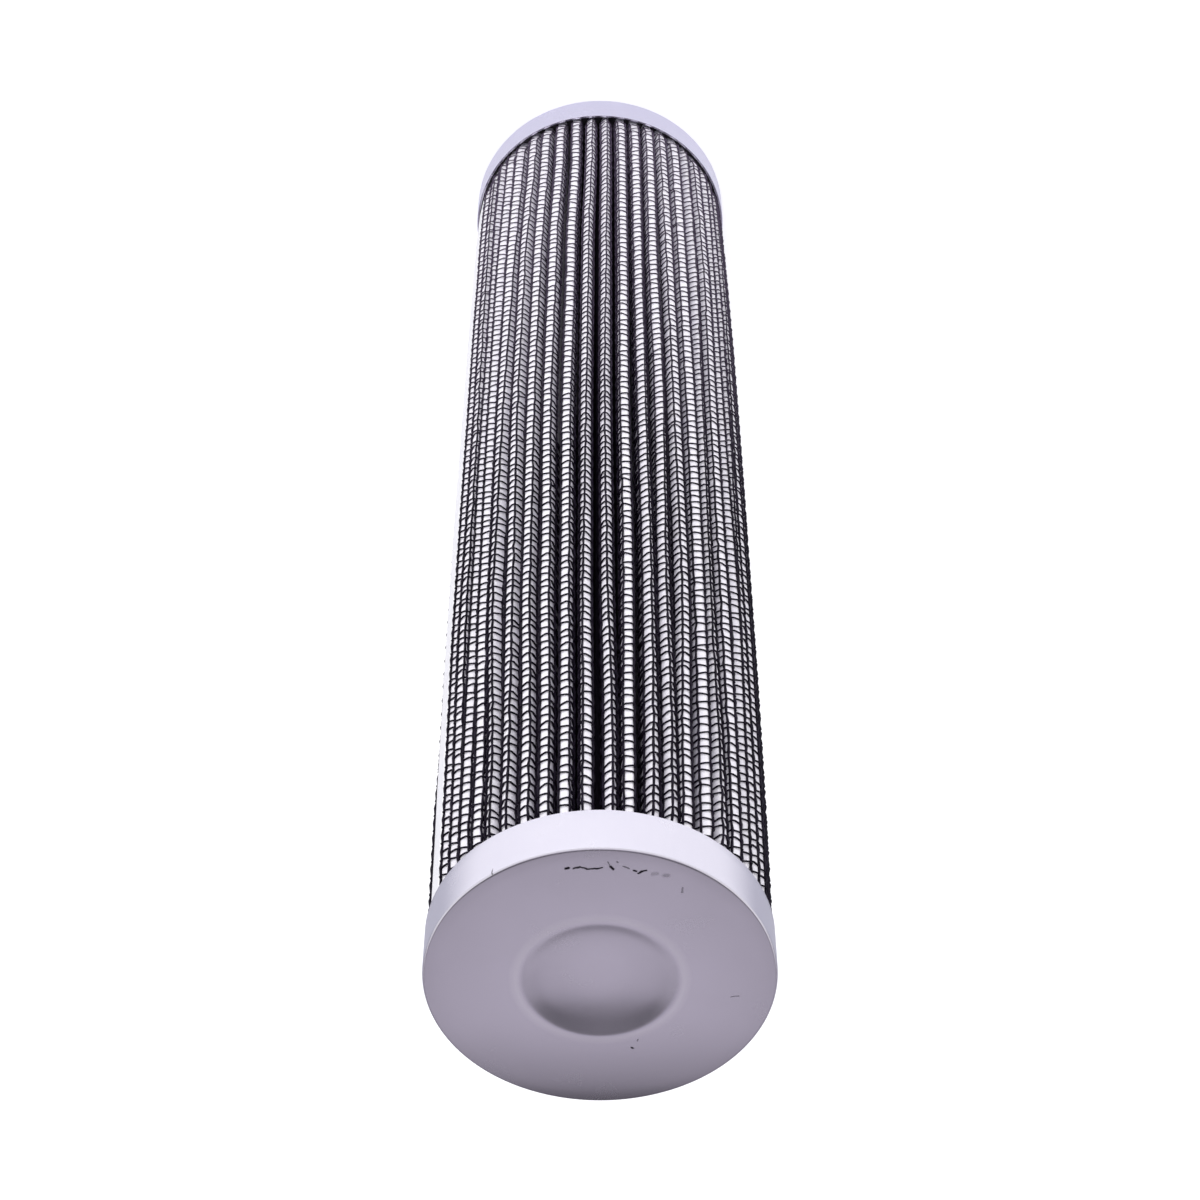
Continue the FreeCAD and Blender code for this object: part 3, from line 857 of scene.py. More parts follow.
@dataclass
class OuterWireCloth:
    """Plain-woven black wire cloth over the crests and the upper flanks."""

    layout: FoldLayout
    wire_far: float = 0.235
    wire_near: float = 0.355
    crimp: float = 0.10
    pooled: float = 0.28
    stray: float = 0.06
    crest_quarters: int = 4
    flank_halves: int = 2
    shares: int = 4
    seed: int = 51

    def half_path(self) -> float:
        """Way along the cloth from the crest's middle to where a wire ends."""
        return (self.crest_quarters / 4 + self.flank_halves / 2) * self.layout.wire_pitch

    def wire_heights(self) -> np.ndarray:
        """Mean height of each cross wire, in millimetres."""
        low = self.layout.open_skirt - 0.9
        high = self.layout.closed_skirt + 0.9
        return np.arange(low, high, self.layout.wire_pitch)

    def cross_heights(self, fold: np.ndarray, number: np.ndarray,
                      along: np.ndarray) -> np.ndarray:
        """Height of a cross wire, which sags, slants and pairs up as woven ones do.

        Args:
            fold: fold numbers.
            number: cross wire numbers.
            along: way along the cloth.

        Returns:
            Heights, in millimetres.
        """
        rng = np.random.default_rng(self.seed + 1)
        heights = self.wire_heights()
        shape = (self.layout.count, len(heights))
        own = rng.normal(0.0, 0.10, shape)
        slant = rng.normal(0.0, 0.07, shape) + rng.normal(0.0, 0.03, (shape[0], 1))
        sag = rng.normal(0.0, 0.02, shape)
        pair = 0.07 * np.where(number % 2 == 0, 1.0, -1.0)
        level = 0.25 * np.sin(fold * 1.7) + 0.3 * np.sin(fold * 0.37 + 1.0)
        return (heights[number] + own[fold, number] + pair + level
                + slant[fold, number] * along + sag[fold, number] * along ** 2)

    def thickness(self, height: np.ndarray) -> np.ndarray:
        """Thickness of the coated wires, whose coat runs thicker at the closed end."""
        share = smooth_step(height / self.layout.high)
        return self.wire_far + (self.wire_near - self.wire_far) * share

    def cross_wires(self, folds: np.ndarray, mesh: PieceMesh) -> None:
        """Add the wires that run round the pack.

        Args:
            folds: the folds that they cross.
            mesh: what they are added to.
        """
        pitch = self.layout.wire_pitch
        over = np.arange(-self.crest_quarters, self.crest_quarters + 1) * pitch / 4
        down = over[-1] + np.arange(1, self.flank_halves + 1) * pitch / 2
        steps = np.concatenate([-down[::-1], over, down])[None, None, :]
        number = np.arange(len(self.wire_heights()))[None, :, None]
        fold = folds[:, None, None]
        mean = self.cross_heights(fold, number, np.zeros((1, 1, 1)))
        offset = self.layout.phase(fold, mean)
        offset = offset - np.round(offset / pitch) * pitch
        along = steps + offset
        height = self.cross_heights(fold, number, along)
        sign = np.where(number % 2 == 0, 1.0, -1.0)
        place = np.round(self.layout.phase(fold, mean) / pitch)
        proud = self.crimp * np.cos(math.pi * (steps / pitch - place)) * sign
        pool = 1.0 + self.pooled * np.cos(2 * math.pi * steps / pitch)
        half = self.thickness(mean) / 2
        rings = []
        for outward, upward in ((1, 0), (0, 1), (-1, 0), (0, -1)):
            rings.append(self.layout.place(
                fold, along, height + upward * half * pool,
                proud + outward * half))
        self.add_tubes(np.stack(rings, axis=3), mesh)

    def axial_wires(self, folds: np.ndarray, mesh: PieceMesh) -> None:
        """Add the wires that run along the pack.

        Args:
            folds: the folds that they lie on.
            mesh: what they are added to.
        """
        rng = np.random.default_rng(self.seed + int(folds[0]))
        number = np.arange(len(self.wire_heights()))
        for fold in folds:
            for place in range(-4, 5):
                own = np.array(fold)
                mean = self.cross_heights(own, number, np.zeros(len(number)))
                along = self.layout.phase(own, mean) + place * self.layout.wire_pitch
                if np.mean(np.abs(along)) > self.half_path():
                    continue
                height = self.cross_heights(own, number, along)
                along = along + rng.normal(0.0, self.stray, len(number))
                sign = np.where((number + place) % 2 == 0, -1.0, 1.0)
                proud = self.crimp * sign
                half = self.thickness(height) / 2 * (1.0 + self.pooled / 2)
                rings = []
                for outward, sideways in ((1, 0), (0, 1), (-1, 0), (0, -1)):
                    rings.append(self.layout.place(
                        own, along + sideways * half, height,
                        proud + outward * half))
                self.add_tubes(np.stack(rings, axis=1)[None, None], mesh)

    def add_tubes(self, rings: np.ndarray, mesh: PieceMesh) -> None:
        """Add closed four-sided wires.

        Args:
            rings: (folds, wires, rings, 4, 3) points.
            mesh: what they are added to.
        """
        steps = rings.shape[2]
        wires = rings.shape[0] * rings.shape[1]
        side = grid_faces(steps, 4, wrap=True)
        last = (steps - 1) * 4
        ends = np.array([[0, 3, 2, 1], [last, last + 1, last + 2, last + 3]])
        one = np.concatenate([side, ends])
        faces = (one[None] + np.arange(wires)[:, None, None] * steps * 4).reshape(-1, 4)
        mesh.add(rings.reshape(-1, 3), faces)

    def build(self, material: bpy.types.Material) -> list[bpy.types.Object]:
        """Make the cloth in a few pieces, each a run of folds.

        Args:
            material: the wires' coat.

        Returns:
            The pieces.
        """
        folds = np.arange(1, self.layout.count)
        made = []
        for number, run in enumerate(np.array_split(folds, self.shares), start=1):
            cross, axial = PieceMesh(), PieceMesh()
            self.cross_wires(run, cross)
            self.axial_wires(run, axial)
            made.append(cross.piece(f"outer_cloth_cross_wires_{number}", material))
            made.append(axial.piece(f"outer_cloth_axial_wires_{number}", material))
        return made

    def dress(self, pieces: list[bpy.types.Object]) -> None:
        """Put the pieces on their body and hide the CAD node that they replace."""
        for piece in pieces:
            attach(piece, ROOT)
            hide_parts("outer_wire_mesh")


@dataclass
class FoldedSheet:
    """One closed sheet that follows the folds, from end to end of the pack."""

    layout: FoldLayout
    name: str
    node: str
    slot: Slot
    below: float
    sheet: float
    crest_steps: int
    flank_steps: tuple[float, ...]
    rows: int

    def heights(self) -> np.ndarray:
        """Heights of the sheet's rows, closer together near the skirts."""
        layout = self.layout
        share = np.linspace(0.0, 1.0, self.rows)
        eased = share - np.sin(share * 2 * math.pi) / (2 * math.pi) * 0.62
        return layout.low + (layout.high - layout.low) * eased

    def build(self, material: bpy.types.Material) -> bpy.types.Object:
        """Make the sheet.

        Args:
            material: its finish.

        Returns:
            The piece.
        """
        layout = self.layout
        over = np.linspace(-1.0, 1.0, self.crest_steps + 1) * 1.6
        root = layout.swell_radius - layout.root_radius + 1.6
        down = np.array([*self.flank_steps, root])
        along = np.concatenate([-down[::-1], over, down])
        folds = np.repeat(np.arange(layout.count), len(along))
        along = np.tile(along, layout.count)
        height = self.heights()[:, None]
        mesh = PieceMesh()
        skins = [layout.place(folds[None], along[None], height, -self.below - depth)
                 for depth in (0.0, self.sheet)]
        columns = len(along)
        reach = np.hypot(skins[0][..., 0], skins[0][..., 1])
        depth = layout.crest(folds[None], height) - reach
        faces = grid_faces(self.rows, columns, wrap=True)
        outer = faces[:, ::-1]
        inner = faces + self.rows * columns
        first = np.arange(columns)
        after = (first + 1) % columns
        low = np.stack([first, after, after + self.rows * columns,
                        first + self.rows * columns], axis=1)
        high = low[:, ::-1] + (self.rows - 1) * columns
        mesh.add(np.concatenate([skin.reshape(-1, 3) for skin in skins]),
                 np.concatenate([outer, inner, low, high]),
                 np.concatenate([depth.ravel(), depth.ravel()]))
        return mesh.piece(self.name, material, crease=70.0)

    def dress(self, piece: bpy.types.Object) -> None:
        """Put the sheet on its body and hide the CAD node that it replaces."""
        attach(piece, ROOT)
        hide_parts(self.node)


@dataclass
class SeamStrip:
    """Smooth white strip that covers the pack's side seam."""

    layout: FoldLayout
    half_width: float = 2.35
    thick: float = 0.5
    edge: float = 0.3
    rows: int = 90
    drift: float = 2.2
    drift_from: float = 75.0
    drift_over: float = 60.0
    offset: float = 1.2

    def section(self) -> np.ndarray:
        """Outline of the strip: way aside and height above its underside."""
        corner = np.linspace(0.0, math.pi / 2, 5)
        right = np.stack([self.half_width - self.edge + self.edge * np.cos(corner),
                          self.thick - self.edge + self.edge * np.sin(corner)], axis=1)
        top = np.array([[x, self.thick] for x in np.linspace(
            self.half_width - self.edge, self.edge - self.half_width, 7)[1:-1]])
        left = right[::-1] * np.array([-1.0, 1.0])
        foot = np.array([[-self.half_width, 0.0], [self.half_width, 0.0]])
        return np.concatenate([foot[1:], right, top, left, foot[:1]])

    def build(self, material: bpy.types.Material) -> bpy.types.Object:
        """Make the strip.

        Args:
            material: its finish.

        Returns:
            The piece.
        """
        layout = self.layout
        section = self.section()
        height = np.linspace(layout.low, layout.high, self.rows)[:, None]
        crest = layout.crest(np.ones((1, 1), int), height)
        seat = np.sqrt(crest ** 2 - self.half_width ** 2) - self.thick - 0.02
        sway = self.drift * smooth_step((self.drift_from - height) / self.drift_over)
        wave = 0.05 * np.sin(height / 9.0) + 0.03 * np.sin(height / 3.7)
        angle = np.radians(layout.seam_azimuth - self.offset + sway + wave * 0.4)
        aside = section[None, :, 0]
        reach = seat + section[None, :, 1] + wave * 0.3
        points = np.stack([reach * np.cos(angle) - aside * np.sin(angle),
                           reach * np.sin(angle) + aside * np.cos(angle),
                           height + 0.0 * aside], axis=-1)
        columns = len(section)
        mesh = PieceMesh()
        ends = np.stack([np.arange(columns)[::-1],
                         np.arange(columns) + (self.rows - 1) * columns])
        mesh.add(points.reshape(-1, 3), grid_faces(self.rows, columns, wrap=True))
        mesh.faces.append(ends)
        return mesh.piece("seam_cover_strip", material, crease=50.0)

    def dress(self, piece: bpy.types.Object) -> None:
        """Put the strip on its body and hide the CAD node that it replaces."""
        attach(piece, ROOT)
        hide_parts("seam_strip")


# ---------------------------------------------------------------- end caps


@dataclass
class PressedCap:
    """A cap pressed from sheet: face, rounded edge, skirt and a smooth lip."""

    name: str
    node: str
    side: Side
    radius: float
    face: float
    skirt: float
    sheet: float = 0.5
    edge_run: float = 0.45
    edge_drop: float = 0.42
    crown: float = 0.055
    crown_run: float = 1.3
    dished: bool = False
    hole: float = 0.0
    around: int = 160
    out_of_round: float = 0.02
    seed: int = 8

    # The dish's steepness in degrees at these radii; the rim rises a little first
    dish_at: ClassVar[tuple[float, ...]] = (
        0.0, 2.0, 4.0, 6.0, 8.0, 9.0, 10.0, 10.7, 11.2, 11.6, 11.9, 12.2, 12.6, 13.2)
    dish_slope: ClassVar[tuple[float, ...]] = (
        0.0, 1.2, 4.2, 7.6, 11.0, 14.0, 19.0, 20.5, 17.5, 8.0, -1.0, -3.0, -1.6, 0.0)
    dish_steps: ClassVar[int] = 400

    def face_drop(self, radius: float) -> float:
        """How far the outside lies below the face's level at a radius."""
        over = max(0.0, radius - (self.radius - self.edge_run - self.crown_run))
        drop = self.crown * (over / self.crown_run) ** 2
        if self.dished:
            way = np.linspace(radius, max(radius, self.dish_at[-1]), self.dish_steps)
            slope = np.tan(np.radians(np.interp(way, self.dish_at, self.dish_slope)))
            drop += float(np.mean(slope) * (way[-1] - way[0]))
        return drop

    def face_profile(self) -> list[tuple[float, float]]:
        """Outside of the face from its middle or hole to its rounded edge.

        Returns:
            Radii, and how far each lies below the face's level.
        """
        flat_end = self.radius - self.edge_run
        if self.dished:
            radii = np.concatenate([
                np.linspace(0.0, 8.0, 15), np.linspace(8.5, 13.5, 17),
                np.linspace(14.2, flat_end, 13)])
        else:
            radii = np.linspace(self.hole, flat_end, 10)
        points = [(float(r), self.face_drop(r)) for r in radii]
        fall = self.face_drop(flat_end)
        for angle in np.linspace(0.0, math.pi / 2, 13)[1:]:
            points.append((flat_end + self.edge_run * math.sin(angle),
                           fall + self.edge_drop * (1 - math.cos(angle))))
        return points

    def profile(self) -> np.ndarray:
        """Closed outline of the sheet: radius and distance below the face."""
        outside = self.face_profile()
        lip = 0.16
        start = self.edge_drop + self.crown
        for share in (0.25, 0.5, 0.75):
            outside.append((self.radius, start + (self.skirt - lip - start) * share))
        outside.append((self.radius, self.skirt - lip))
        for angle in np.linspace(0.0, math.pi / 2, 4)[1:]:
            outside.append((self.radius - lip * (1 - math.cos(angle)),
                            self.skirt - lip * (1 - math.sin(angle))))
        inside = [(self.radius - self.sheet + 0.08, self.skirt),
                  (self.radius - self.sheet, self.skirt - 0.1),
                  (self.radius - self.sheet, self.sheet * 1.8 + self.crown),
                  (self.radius - self.edge_run - 0.05, self.sheet + self.crown)]
        face = [(r, d + self.sheet) for r, d in self.face_profile()
                if r < self.radius - self.edge_run - 0.1]
        inside.extend(face[::-1])
        return np.array(outside + inside)

    def build(self, material: bpy.types.Material) -> bpy.types.Object:
        """Turn the outline about the axis, a little out of round as pressings are.

        Args:
            material: the cap's finish.

        Returns:
            The piece.
        """
        outline = self.profile()
        rng = np.random.default_rng(self.seed)
        turn = np.linspace(0.0, 2 * math.pi, self.around, endpoint=False)
        phase = rng.uniform(0.0, 2 * math.pi, 4)
        uneven = sum(np.sin(n * turn + phase[n - 2]) for n in (2, 3, 5)) / 3
        radius = outline[None, :, 0]
        pull = 1.0 - self.out_of_round * (1.0 + uneven[:, None]) / 2 / self.radius
        wave = 0.012 * np.sin(2 * turn[:, None] + phase[3]) * (radius / self.radius) ** 2
        drop = outline[None, :, 1] - outline[:, 1].min() + np.abs(wave)
        drop = np.minimum(drop, self.skirt)
        x = radius * pull * np.cos(turn[:, None])
        y = radius * pull * np.sin(turn[:, None])
        z = self.face - self.side.value * drop
        z = np.broadcast_to(z, x.shape)
        rows, columns = x.shape
        faces = grid_faces(rows + 1, columns, wrap=self.hole > 0.0)
        faces = faces % (rows * columns)
        if self.side is Side.DOWN:
            faces = faces[:, ::-1]
        mesh = PieceMesh()
        mesh.add(np.stack([x, y, z], axis=-1).reshape(-1, 3), faces)
        made = mesh.piece(self.name, material, crease=40.0)
        self.weld(made)
        return made

    def weld(self, piece: bpy.types.Object) -> None:
        """Join the points that meet on the axis."""
        import bmesh
        shape = bmesh.new()
        shape.from_mesh(piece.data)
        bmesh.ops.remove_doubles(shape, verts=shape.verts, dist=1e-6)
        bmesh.ops.recalc_face_normals(shape, faces=shape.faces)
        shape.to_mesh(piece.data)
        shape.free()

    def dress(self, piece: bpy.types.Object) -> None:
        """Put the cap on its body and hide the CAD node that it replaces."""
        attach(piece, ROOT)
        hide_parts(self.node)


# ---------------------------------------------------------------- kept solids


@dataclass
class KeptSolids:
    """The CAD nodes that show as they are, each with its own finish."""

    core: TurnedSteel = field(default_factory=lambda: TurnedSteel(
        "core_drawn_steel", rings=False, line=0.4))
    collar: TurnedSteel = field(default_factory=lambda: TurnedSteel(
        "collar_turned_steel", rings=True, line=0.2))
    # The adhesive is near black: partly its own colour, partly painted shade for the dark
    # band between the open skirt and the crest tips.
    adhesive: MouldedFinish = field(default_factory=lambda: MouldedFinish(
        "potting_adhesive_and_shade", (0.055, 0.048, 0.056, 1.0), (0.032, 0.028, 0.034, 1.0), 0.5))
    rubber: MouldedFinish = field(default_factory=lambda: MouldedFinish(
        "seal_nitrile_rubber", (0.028, 0.028, 0.030, 1.0), (0.014, 0.014, 0.015, 1.0),
        0.62, cloud=2.0, grain=0.15, depth=0.01, gloss=0.4))

    def dress(self) -> None:
        """Give each kept node its finish."""
        adhesive = self.adhesive.material()
        finishes = {
            "core_tube": self.core.material(),
            "outlet_collar": self.collar.material(),
            "open_end_potting": adhesive,
            "closed_end_potting": adhesive,
            "seal_ring": self.rubber.material(),
        }
        for node, material in finishes.items():
            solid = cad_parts[node]
            solid.data.materials.clear()
            solid.data.materials.append(material)


# ---------------------------------------------------------------- studio


@dataclass
class Studio:
    """Pale floor, soft sky, two large lamps and the photograph's camera."""

    radius: float
    length: float
    floor_size: float = 12.0
    floor_white: Colour = (0.86, 0.86, 0.87, 1.0)
    lift: float = 0.30
    gloss_lift: float = 0.08
    gloss_tint: Colour = (0.92, 0.945, 1.22, 1.0)
    reflected_far_shade: Colour = (0.42, 0.42, 0.46, 1.0)
    sky: Colour = (0.965, 0.96, 1.0, 1.0)
    sky_strength: float = 0.9
    flag_tint: Colour = (1.0, 0.935, 1.085, 1.0)
    side_dim: float = 0.30
    # Painted reflection: the low card's glow, darkest at its foot as shadowed ground
    # beside the face would be
    behind_greys: tuple[tuple[float, float], ...] = (
        (0.0, 0.10), (0.032, 0.10), (0.113, 0.12), (0.188, 0.17), (0.269, 0.245),
        (0.387, 0.30), (0.532, 0.34), (0.677, 0.395), (0.839, 0.44), (1.0, 0.47))
    arc_radius: float = 1.2
    arc_width: float = 1.0
    arc_end: float = 130.0
    arc_steps: int = 27
    # Painted reflection: the arc's glow, dim overhead and bright low on the camera's side
    arc_greys: tuple[tuple[float, float], ...] = (
        (0.0, 0.46), (0.25, 0.48), (0.394, 0.495), (0.43, 0.41), (0.457, 0.28),
        (0.487, 0.19), (0.53, 0.16), (0.76, 0.165), (0.84, 0.5), (1.0, 0.9))
    spot_power: float = 3.0
    camera_out: float = 10.837
    camera_up: float = 10.690
    camera_pitch: float = 37.32
    lens: float = 80.535

    def floor(self) -> bpy.types.Object:
        """Make the floor, white to the camera, shadow kept; in reflections its near side
        is white and its far side has painted shade.

        Returns:
            The floor.
        """
        half = self.floor_size / 2
        mesh = bpy.data.meshes.new("studio_floor")
        mesh.from_pydata([(-half, -half, 0.0), (half, -half, 0.0),
                          (half, half, 0.0), (-half, half, 0.0)], [], [(0, 1, 2, 3)])
        made = bpy.data.objects.new("studio_floor", mesh)
        bpy.context.scene.collection.objects.link(made)
        sheet = NodeSheet("studio_floor_white")
        cloud = sheet.noise(400.0, 2.0)
        colour = sheet.mix(sheet.span(cloud, 0.3, 0.7, 0.0, 1.0),
                           tuple(0.995 * c for c in self.floor_white[:3]) + (1.0,),
                           self.floor_white)
        rays = sheet.add("LightPath")
        gloss = sheet.math("MAXIMUM", rays.outputs["Is Glossy Ray"],
                           rays.outputs["Is Transmission Ray"])
        # Painted shade: in reflections only, the floor's far side beyond the element turns
        # grey, as shadowed ground would.
        apart = sheet.add("SeparateXYZ")
        sheet.join(sheet.place(), apart.inputs[0])
        behind = sheet.math("MULTIPLY", gloss,
                            sheet.span(apart.outputs["Y"], -0.02, 0.10, 0.0, 1.0))
        lift = sheet.math(
            "ADD", sheet.math("MULTIPLY", rays.outputs["Is Camera Ray"], self.lift),
            sheet.math("MULTIPLY", gloss, self.gloss_lift))
        sheet.set(Base_Color=sheet.mix(behind, colour, self.reflected_far_shade), Roughness=0.95,
                  Specular_IOR_Level=0.0, Emission_Strength=lift,
                  Emission_Color=sheet.mix(gloss, (1.0, 1.0, 1.0, 1.0), self.gloss_tint))
        made.data.materials.append(sheet.material)
        return made

    def world(self) -> bpy.types.World:
        """Make the even sky, pure white where the camera sees it.

        Returns:
            The world.
        """
        world = bpy.data.worlds.new("studio_sky")
        world.use_nodes = True
        tree = world.node_tree
        tree.nodes.clear()
        output = tree.nodes.new("ShaderNodeOutputWorld")
        soft = tree.nodes.new("ShaderNodeBackground")
        soft.inputs["Color"].default_value = self.sky
        soft.inputs["Strength"].default_value = self.sky_strength
        white = tree.nodes.new("ShaderNodeBackground")
        white.inputs["Color"].default_value = (1.0, 1.0, 1.0, 1.0)
        choice = tree.nodes.new("ShaderNodeMixShader")
        rays = tree.nodes.new("ShaderNodeLightPath")
        tree.links.new(rays.outputs["Is Camera Ray"], choice.inputs[0])
        tree.links.new(soft.outputs[0], choice.inputs[1])
        tree.links.new(white.outputs[0], choice.inputs[2])
        tree.links.new(choice.outputs[0], output.inputs["Surface"])
        bpy.context.scene.world = world
        return world

    def card(self, name: str, points: list[tuple[float, float, float]],
             greys: tuple[tuple[float, float], ...], arc: bool) -> bpy.types.Object:
        """Make a grey card that only the sheen of the metal shows.

        Args:
            name: the card's name.
            points: its four corners in order, or pairs of points along an arc.
            greys: shares of the way up the card, and the grey at each.
            arc: whether it bends round the closed face.

        Returns:
            The card.
        """
        mesh = bpy.data.meshes.new(name)
        faces = [(0, 1, 2, 3)]
        if arc:
            faces = [(i, i + 1, i + 3, i + 2) for i in range(0, len(points) - 2, 2)]
        mesh.from_pydata(points, [], faces)
        made = bpy.data.objects.new(name, mesh)
        bpy.context.scene.collection.objects.link(made)
        sheet = NodeSheet(name + "_grey")
        apart = sheet.add("SeparateXYZ")
        sheet.join(sheet.place(), apart.inputs[0])
        if arc:
            up = sheet.math("SUBTRACT", apart.outputs["Z"], self.length * MM)
            angle = sheet.math("ARCTAN2", up, apart.outputs["Y"])
            way = sheet.span(angle, 0.0, math.radians(self.arc_end), 0.0, 1.0)
        else:
            way = sheet.span(apart.outputs["Z"], points[0][2], points[2][2], 0.0, 1.0)
        level = sheet.add("ValToRGB")
        sheet.join(way, level.inputs["Fac"])
        ramp = level.color_ramp
        ramp.elements[0].position, ramp.elements[1].position = 0.0, 1.0
        for place, grey in greys:
            stop = (ramp.elements[0] if place == 0.0 else ramp.elements[-1]
                    if place == 1.0 else ramp.elements.new(place))
            stop.color = (grey, grey, grey, 1.0)
        aside = sheet.math("ABSOLUTE", apart.outputs["X"])
        dim = sheet.span(aside, 0.0, 0.50, 1.0, 1.0 - self.side_dim)
        sheet.set(Base_Color=(0.0, 0.0, 0.0, 1.0), Roughness=1.0,
                  Specular_IOR_Level=0.0, Emission_Color=self.flag_tint,
                  Emission_Strength=sheet.math("MULTIPLY", level.outputs["Color"], dim))
        made.data.materials.append(sheet.material)
        made.visible_camera = False
        made.visible_diffuse = False
        made.visible_transmission = False
        made.visible_volume_scatter = False
        made.visible_shadow = False
        return made

    def cards(self) -> None:
        """Set a low card behind the closed face and an arc of sky over it, both glowing
        only in reflections as painted reflections.
        """
        low, high = self.length * MM - 0.0006, self.length * MM + 0.018
        side, away = 0.12, (self.radius + 1.2) * MM
        self.card("sheen_card_behind",
                  [(-side, away, low), (side, away, low), (side, away, high),
                   (-side, away, high)], self.behind_greys, False)
        points = []
        for share in np.linspace(0.0, 1.0, self.arc_steps):
            angle = math.radians(self.arc_end * share)
            for side in (-1.0, 1.0):
                points.append((side * self.arc_width, self.arc_radius * math.cos(angle),
                               self.length * MM + self.arc_radius * math.sin(angle)))
        self.card("sheen_card_arc", points, self.arc_greys, True)

    def lamp(self, name: str, place: tuple[float, float, float], size: float,
             power: float, in_gloss: bool) -> bpy.types.Object:
        """Make a square lamp that looks at the middle of the element.

        Args:
            name: the lamp's name.
            place: where it stands, in metres.
            size: its side, in metres.
            power: its power, in watts.
            in_gloss: whether reflections show it.

        Returns:
            The lamp.
        """
        data = bpy.data.lights.new(name, "AREA")
        data.size = size
        data.energy = power
        made = bpy.data.objects.new(name, data)
        made.location = place
        aim = Vector((0.0, 0.0, self.length * MM / 2)) - Vector(place)
        made.rotation_euler = aim.to_track_quat("-Z", "Y").to_euler()
        made.visible_glossy = in_gloss
        bpy.context.scene.collection.objects.link(made)
        return made

    def spot(self) -> bpy.types.Object:
        """Make the spot that brings up the open end of the pack.

        Returns:
            The spot.
        """
        data = bpy.data.lights.new("open_end_spot", "SPOT")
        data.energy = self.spot_power
        data.spot_size = math.radians(22.0)
        data.spot_blend = 1.0
        data.shadow_soft_size = 0.10
        made = bpy.data.objects.new("open_end_spot", data)
        place = Vector((0.05, -0.70, 0.30))
        made.location = place
        aim = Vector((0.0, -0.02, 0.03)) - place
        made.rotation_euler = aim.to_track_quat("-Z", "Y").to_euler()
        made.visible_glossy = False
        bpy.context.scene.collection.objects.link(made)
        return made

    def camera(self) -> bpy.types.Object:
        """Make the camera of the photograph, which looks down the closed end.

        Returns:
            The camera.
        """
        data = bpy.data.cameras.new("photo_camera")
        data.sensor_width = 36.0
        data.lens = self.lens
        data.clip_start, data.clip_end = 0.01, 50.0
        made = bpy.data.objects.new("photo_camera", data)
        pitch = math.radians(self.camera_pitch)
        cosine, sine = math.cos(pitch), math.sin(pitch)
        place = (0.0, -self.camera_out * self.radius * MM,
                 (self.length + self.camera_up * self.radius) * MM)
        made.matrix_world = Matrix((
            (-1.0, 0.0, 0.0, place[0]),
            (0.0, -cosine, -sine, place[1]),
            (0.0, -sine, cosine, place[2]),
            (0.0, 0.0, 0.0, 1.0)))
        bpy.context.scene.collection.objects.link(made)
        bpy.context.scene.camera = made
        return made

    def build(self) -> None:
        """Make the whole studio."""
        self.camera()
        self.floor()
        self.cards()
        self.world()
        self.lamp("soft_key_lamp", (0.30, -1.08, 0.55), 1.0, 6.2, False)
        self.lamp("soft_back_lamp", (-0.3, 1.2, 0.7), 1.0, 2.5, False)
        self.spot()
        bpy.context.scene.view_settings.view_transform = "Standard"


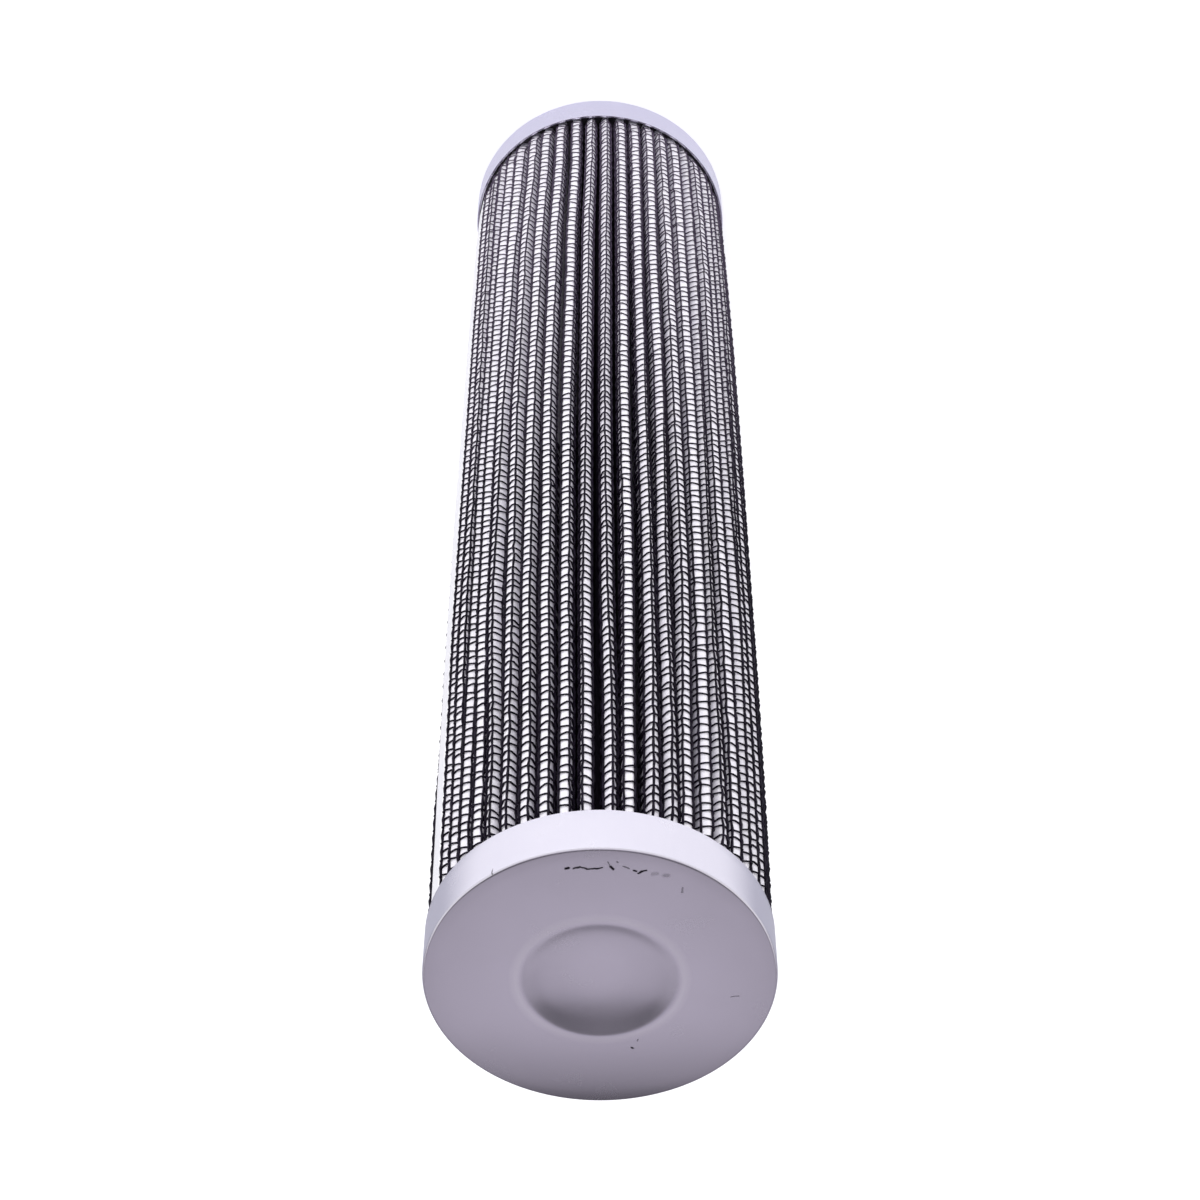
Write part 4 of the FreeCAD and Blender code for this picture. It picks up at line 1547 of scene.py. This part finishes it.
def face_scuffs() -> tuple[Scuff, ...]:
    """The rub marks on the closed face, in millimetres from its middle."""
    return (
        Scuff((4.9, -22.2), (4.4, -22.35), 0.42, 1.0),
        Scuff((3.7, -22.2), (2.8, -22.6), 0.34, 0.95),
        Scuff((2.8, -22.6), (1.8, -22.1), 0.30, 0.95),
        Scuff((1.8, -22.1), (-0.3, -22.4), 0.33, 1.0),
        Scuff((-1.1, -23.5), (-1.5, -22.6), 0.18, 0.6),
        Scuff((-1.5, -22.6), (-1.9, -22.1), 0.40, 1.0),
        Scuff((-2.4, -23.5), (-2.5, -23.4), 0.32, 0.6),
        Scuff((-3.3, -22.7), (-4.1, -22.2), 0.27, 0.6),
        Scuff((-4.8, -21.9), (-5.1, -21.75), 0.37, 1.0),
        Scuff((-5.4, -21.35), (-6.5, -21.9), 0.35, 1.0),
        Scuff((-7.5, -21.2), (-8.1, -21.3), 0.64, 0.22),
        Scuff((-9.1, -20.9), (-9.6, -20.9), 0.72, 0.28),
        Scuff((-11.7, -18.5), (-11.7, -17.7), 0.34, 0.4),
        Scuff((15.25, -21.05), (15.2, -21.0), 0.22, 0.7),
        Scuff((-4.8, 14.1), (-4.9, 14.15), 0.44, 0.95),
        Scuff((-5.5, 12.7), (-5.6, 12.3), 0.24, 0.5),
        Scuff((-19.2, 3.4), (-20.3, 3.2), 0.21, 0.5),
    )


def main() -> None:
    """Build every piece of the element and the studio round it."""
    logging.basicConfig(level=logging.INFO, format="%(name)s: %(message)s")
    radius, skirt_low, length = node_span("closed_end_cap")
    _, _, open_skirt = node_span("open_end_cap")
    _, pack_low, pack_high = node_span("outer_wire_mesh")

    layout = FoldLayout(
        low=pack_low, high=pack_high, open_skirt=open_skirt, closed_skirt=skirt_low,
        root_radius=17.7)

    cloth = OuterWireCloth(layout)
    cloth.dress(cloth.build(CoatedWire().material()))
    LOG.info("outer wire cloth built")

    media = FoldedSheet(layout, "folded_filter_media", "filter_media", Slot.MEDIA,
                        0.22, 0.26, 10, (2.1, 2.8, 3.9, 5.6), 24)
    media.dress(media.build(FilterFleece().material()))
    inner = FoldedSheet(layout, "folded_inner_cloth", "inner_wire_mesh",
                        Slot.INNER_CLOTH, 0.50, 0.12, 4, (3.2,), 14)
    inner.dress(inner.build(FineCloth().material()))
    LOG.info("media and inner cloth folded")

    strip = SeamStrip(layout)
    strip.dress(strip.build(MouldedFinish(
        "seam_white_plastic", (0.955, 0.95, 0.965, 1.0), (0.92, 0.915, 0.935, 1.0),
        0.42, cloud=8.0, grain=0.5, depth=0.01).material()))
    LOG.info("seam strip laid")

    closed = PressedCap("closed_cap_pressing", "closed_end_cap", Side.UP, radius,
                        length, length - skirt_low, dished=True)
    closed.dress(closed.build(PressedSteel(
        "closed_cap_steel", light_ring_radius=12.2, face_height=length,
        scuffs=face_scuffs()).material()))
    opened = PressedCap("open_cap_pressing", "open_end_cap", Side.DOWN, radius,
                        0.0, open_skirt, hole=15.66, crown=0.0)
    opened.dress(opened.build(PressedSteel(
        "open_cap_steel", light=(0.79, 0.77, 0.90, 1.0),
        dull=(0.76, 0.74, 0.875, 1.0)).material()))
    LOG.info("caps pressed")

    KeptSolids().dress()
    LOG.info("kept solids dressed")

    Studio(radius, length).build()
    LOG.info("studio set")


if __name__ == "__main__":
    main()
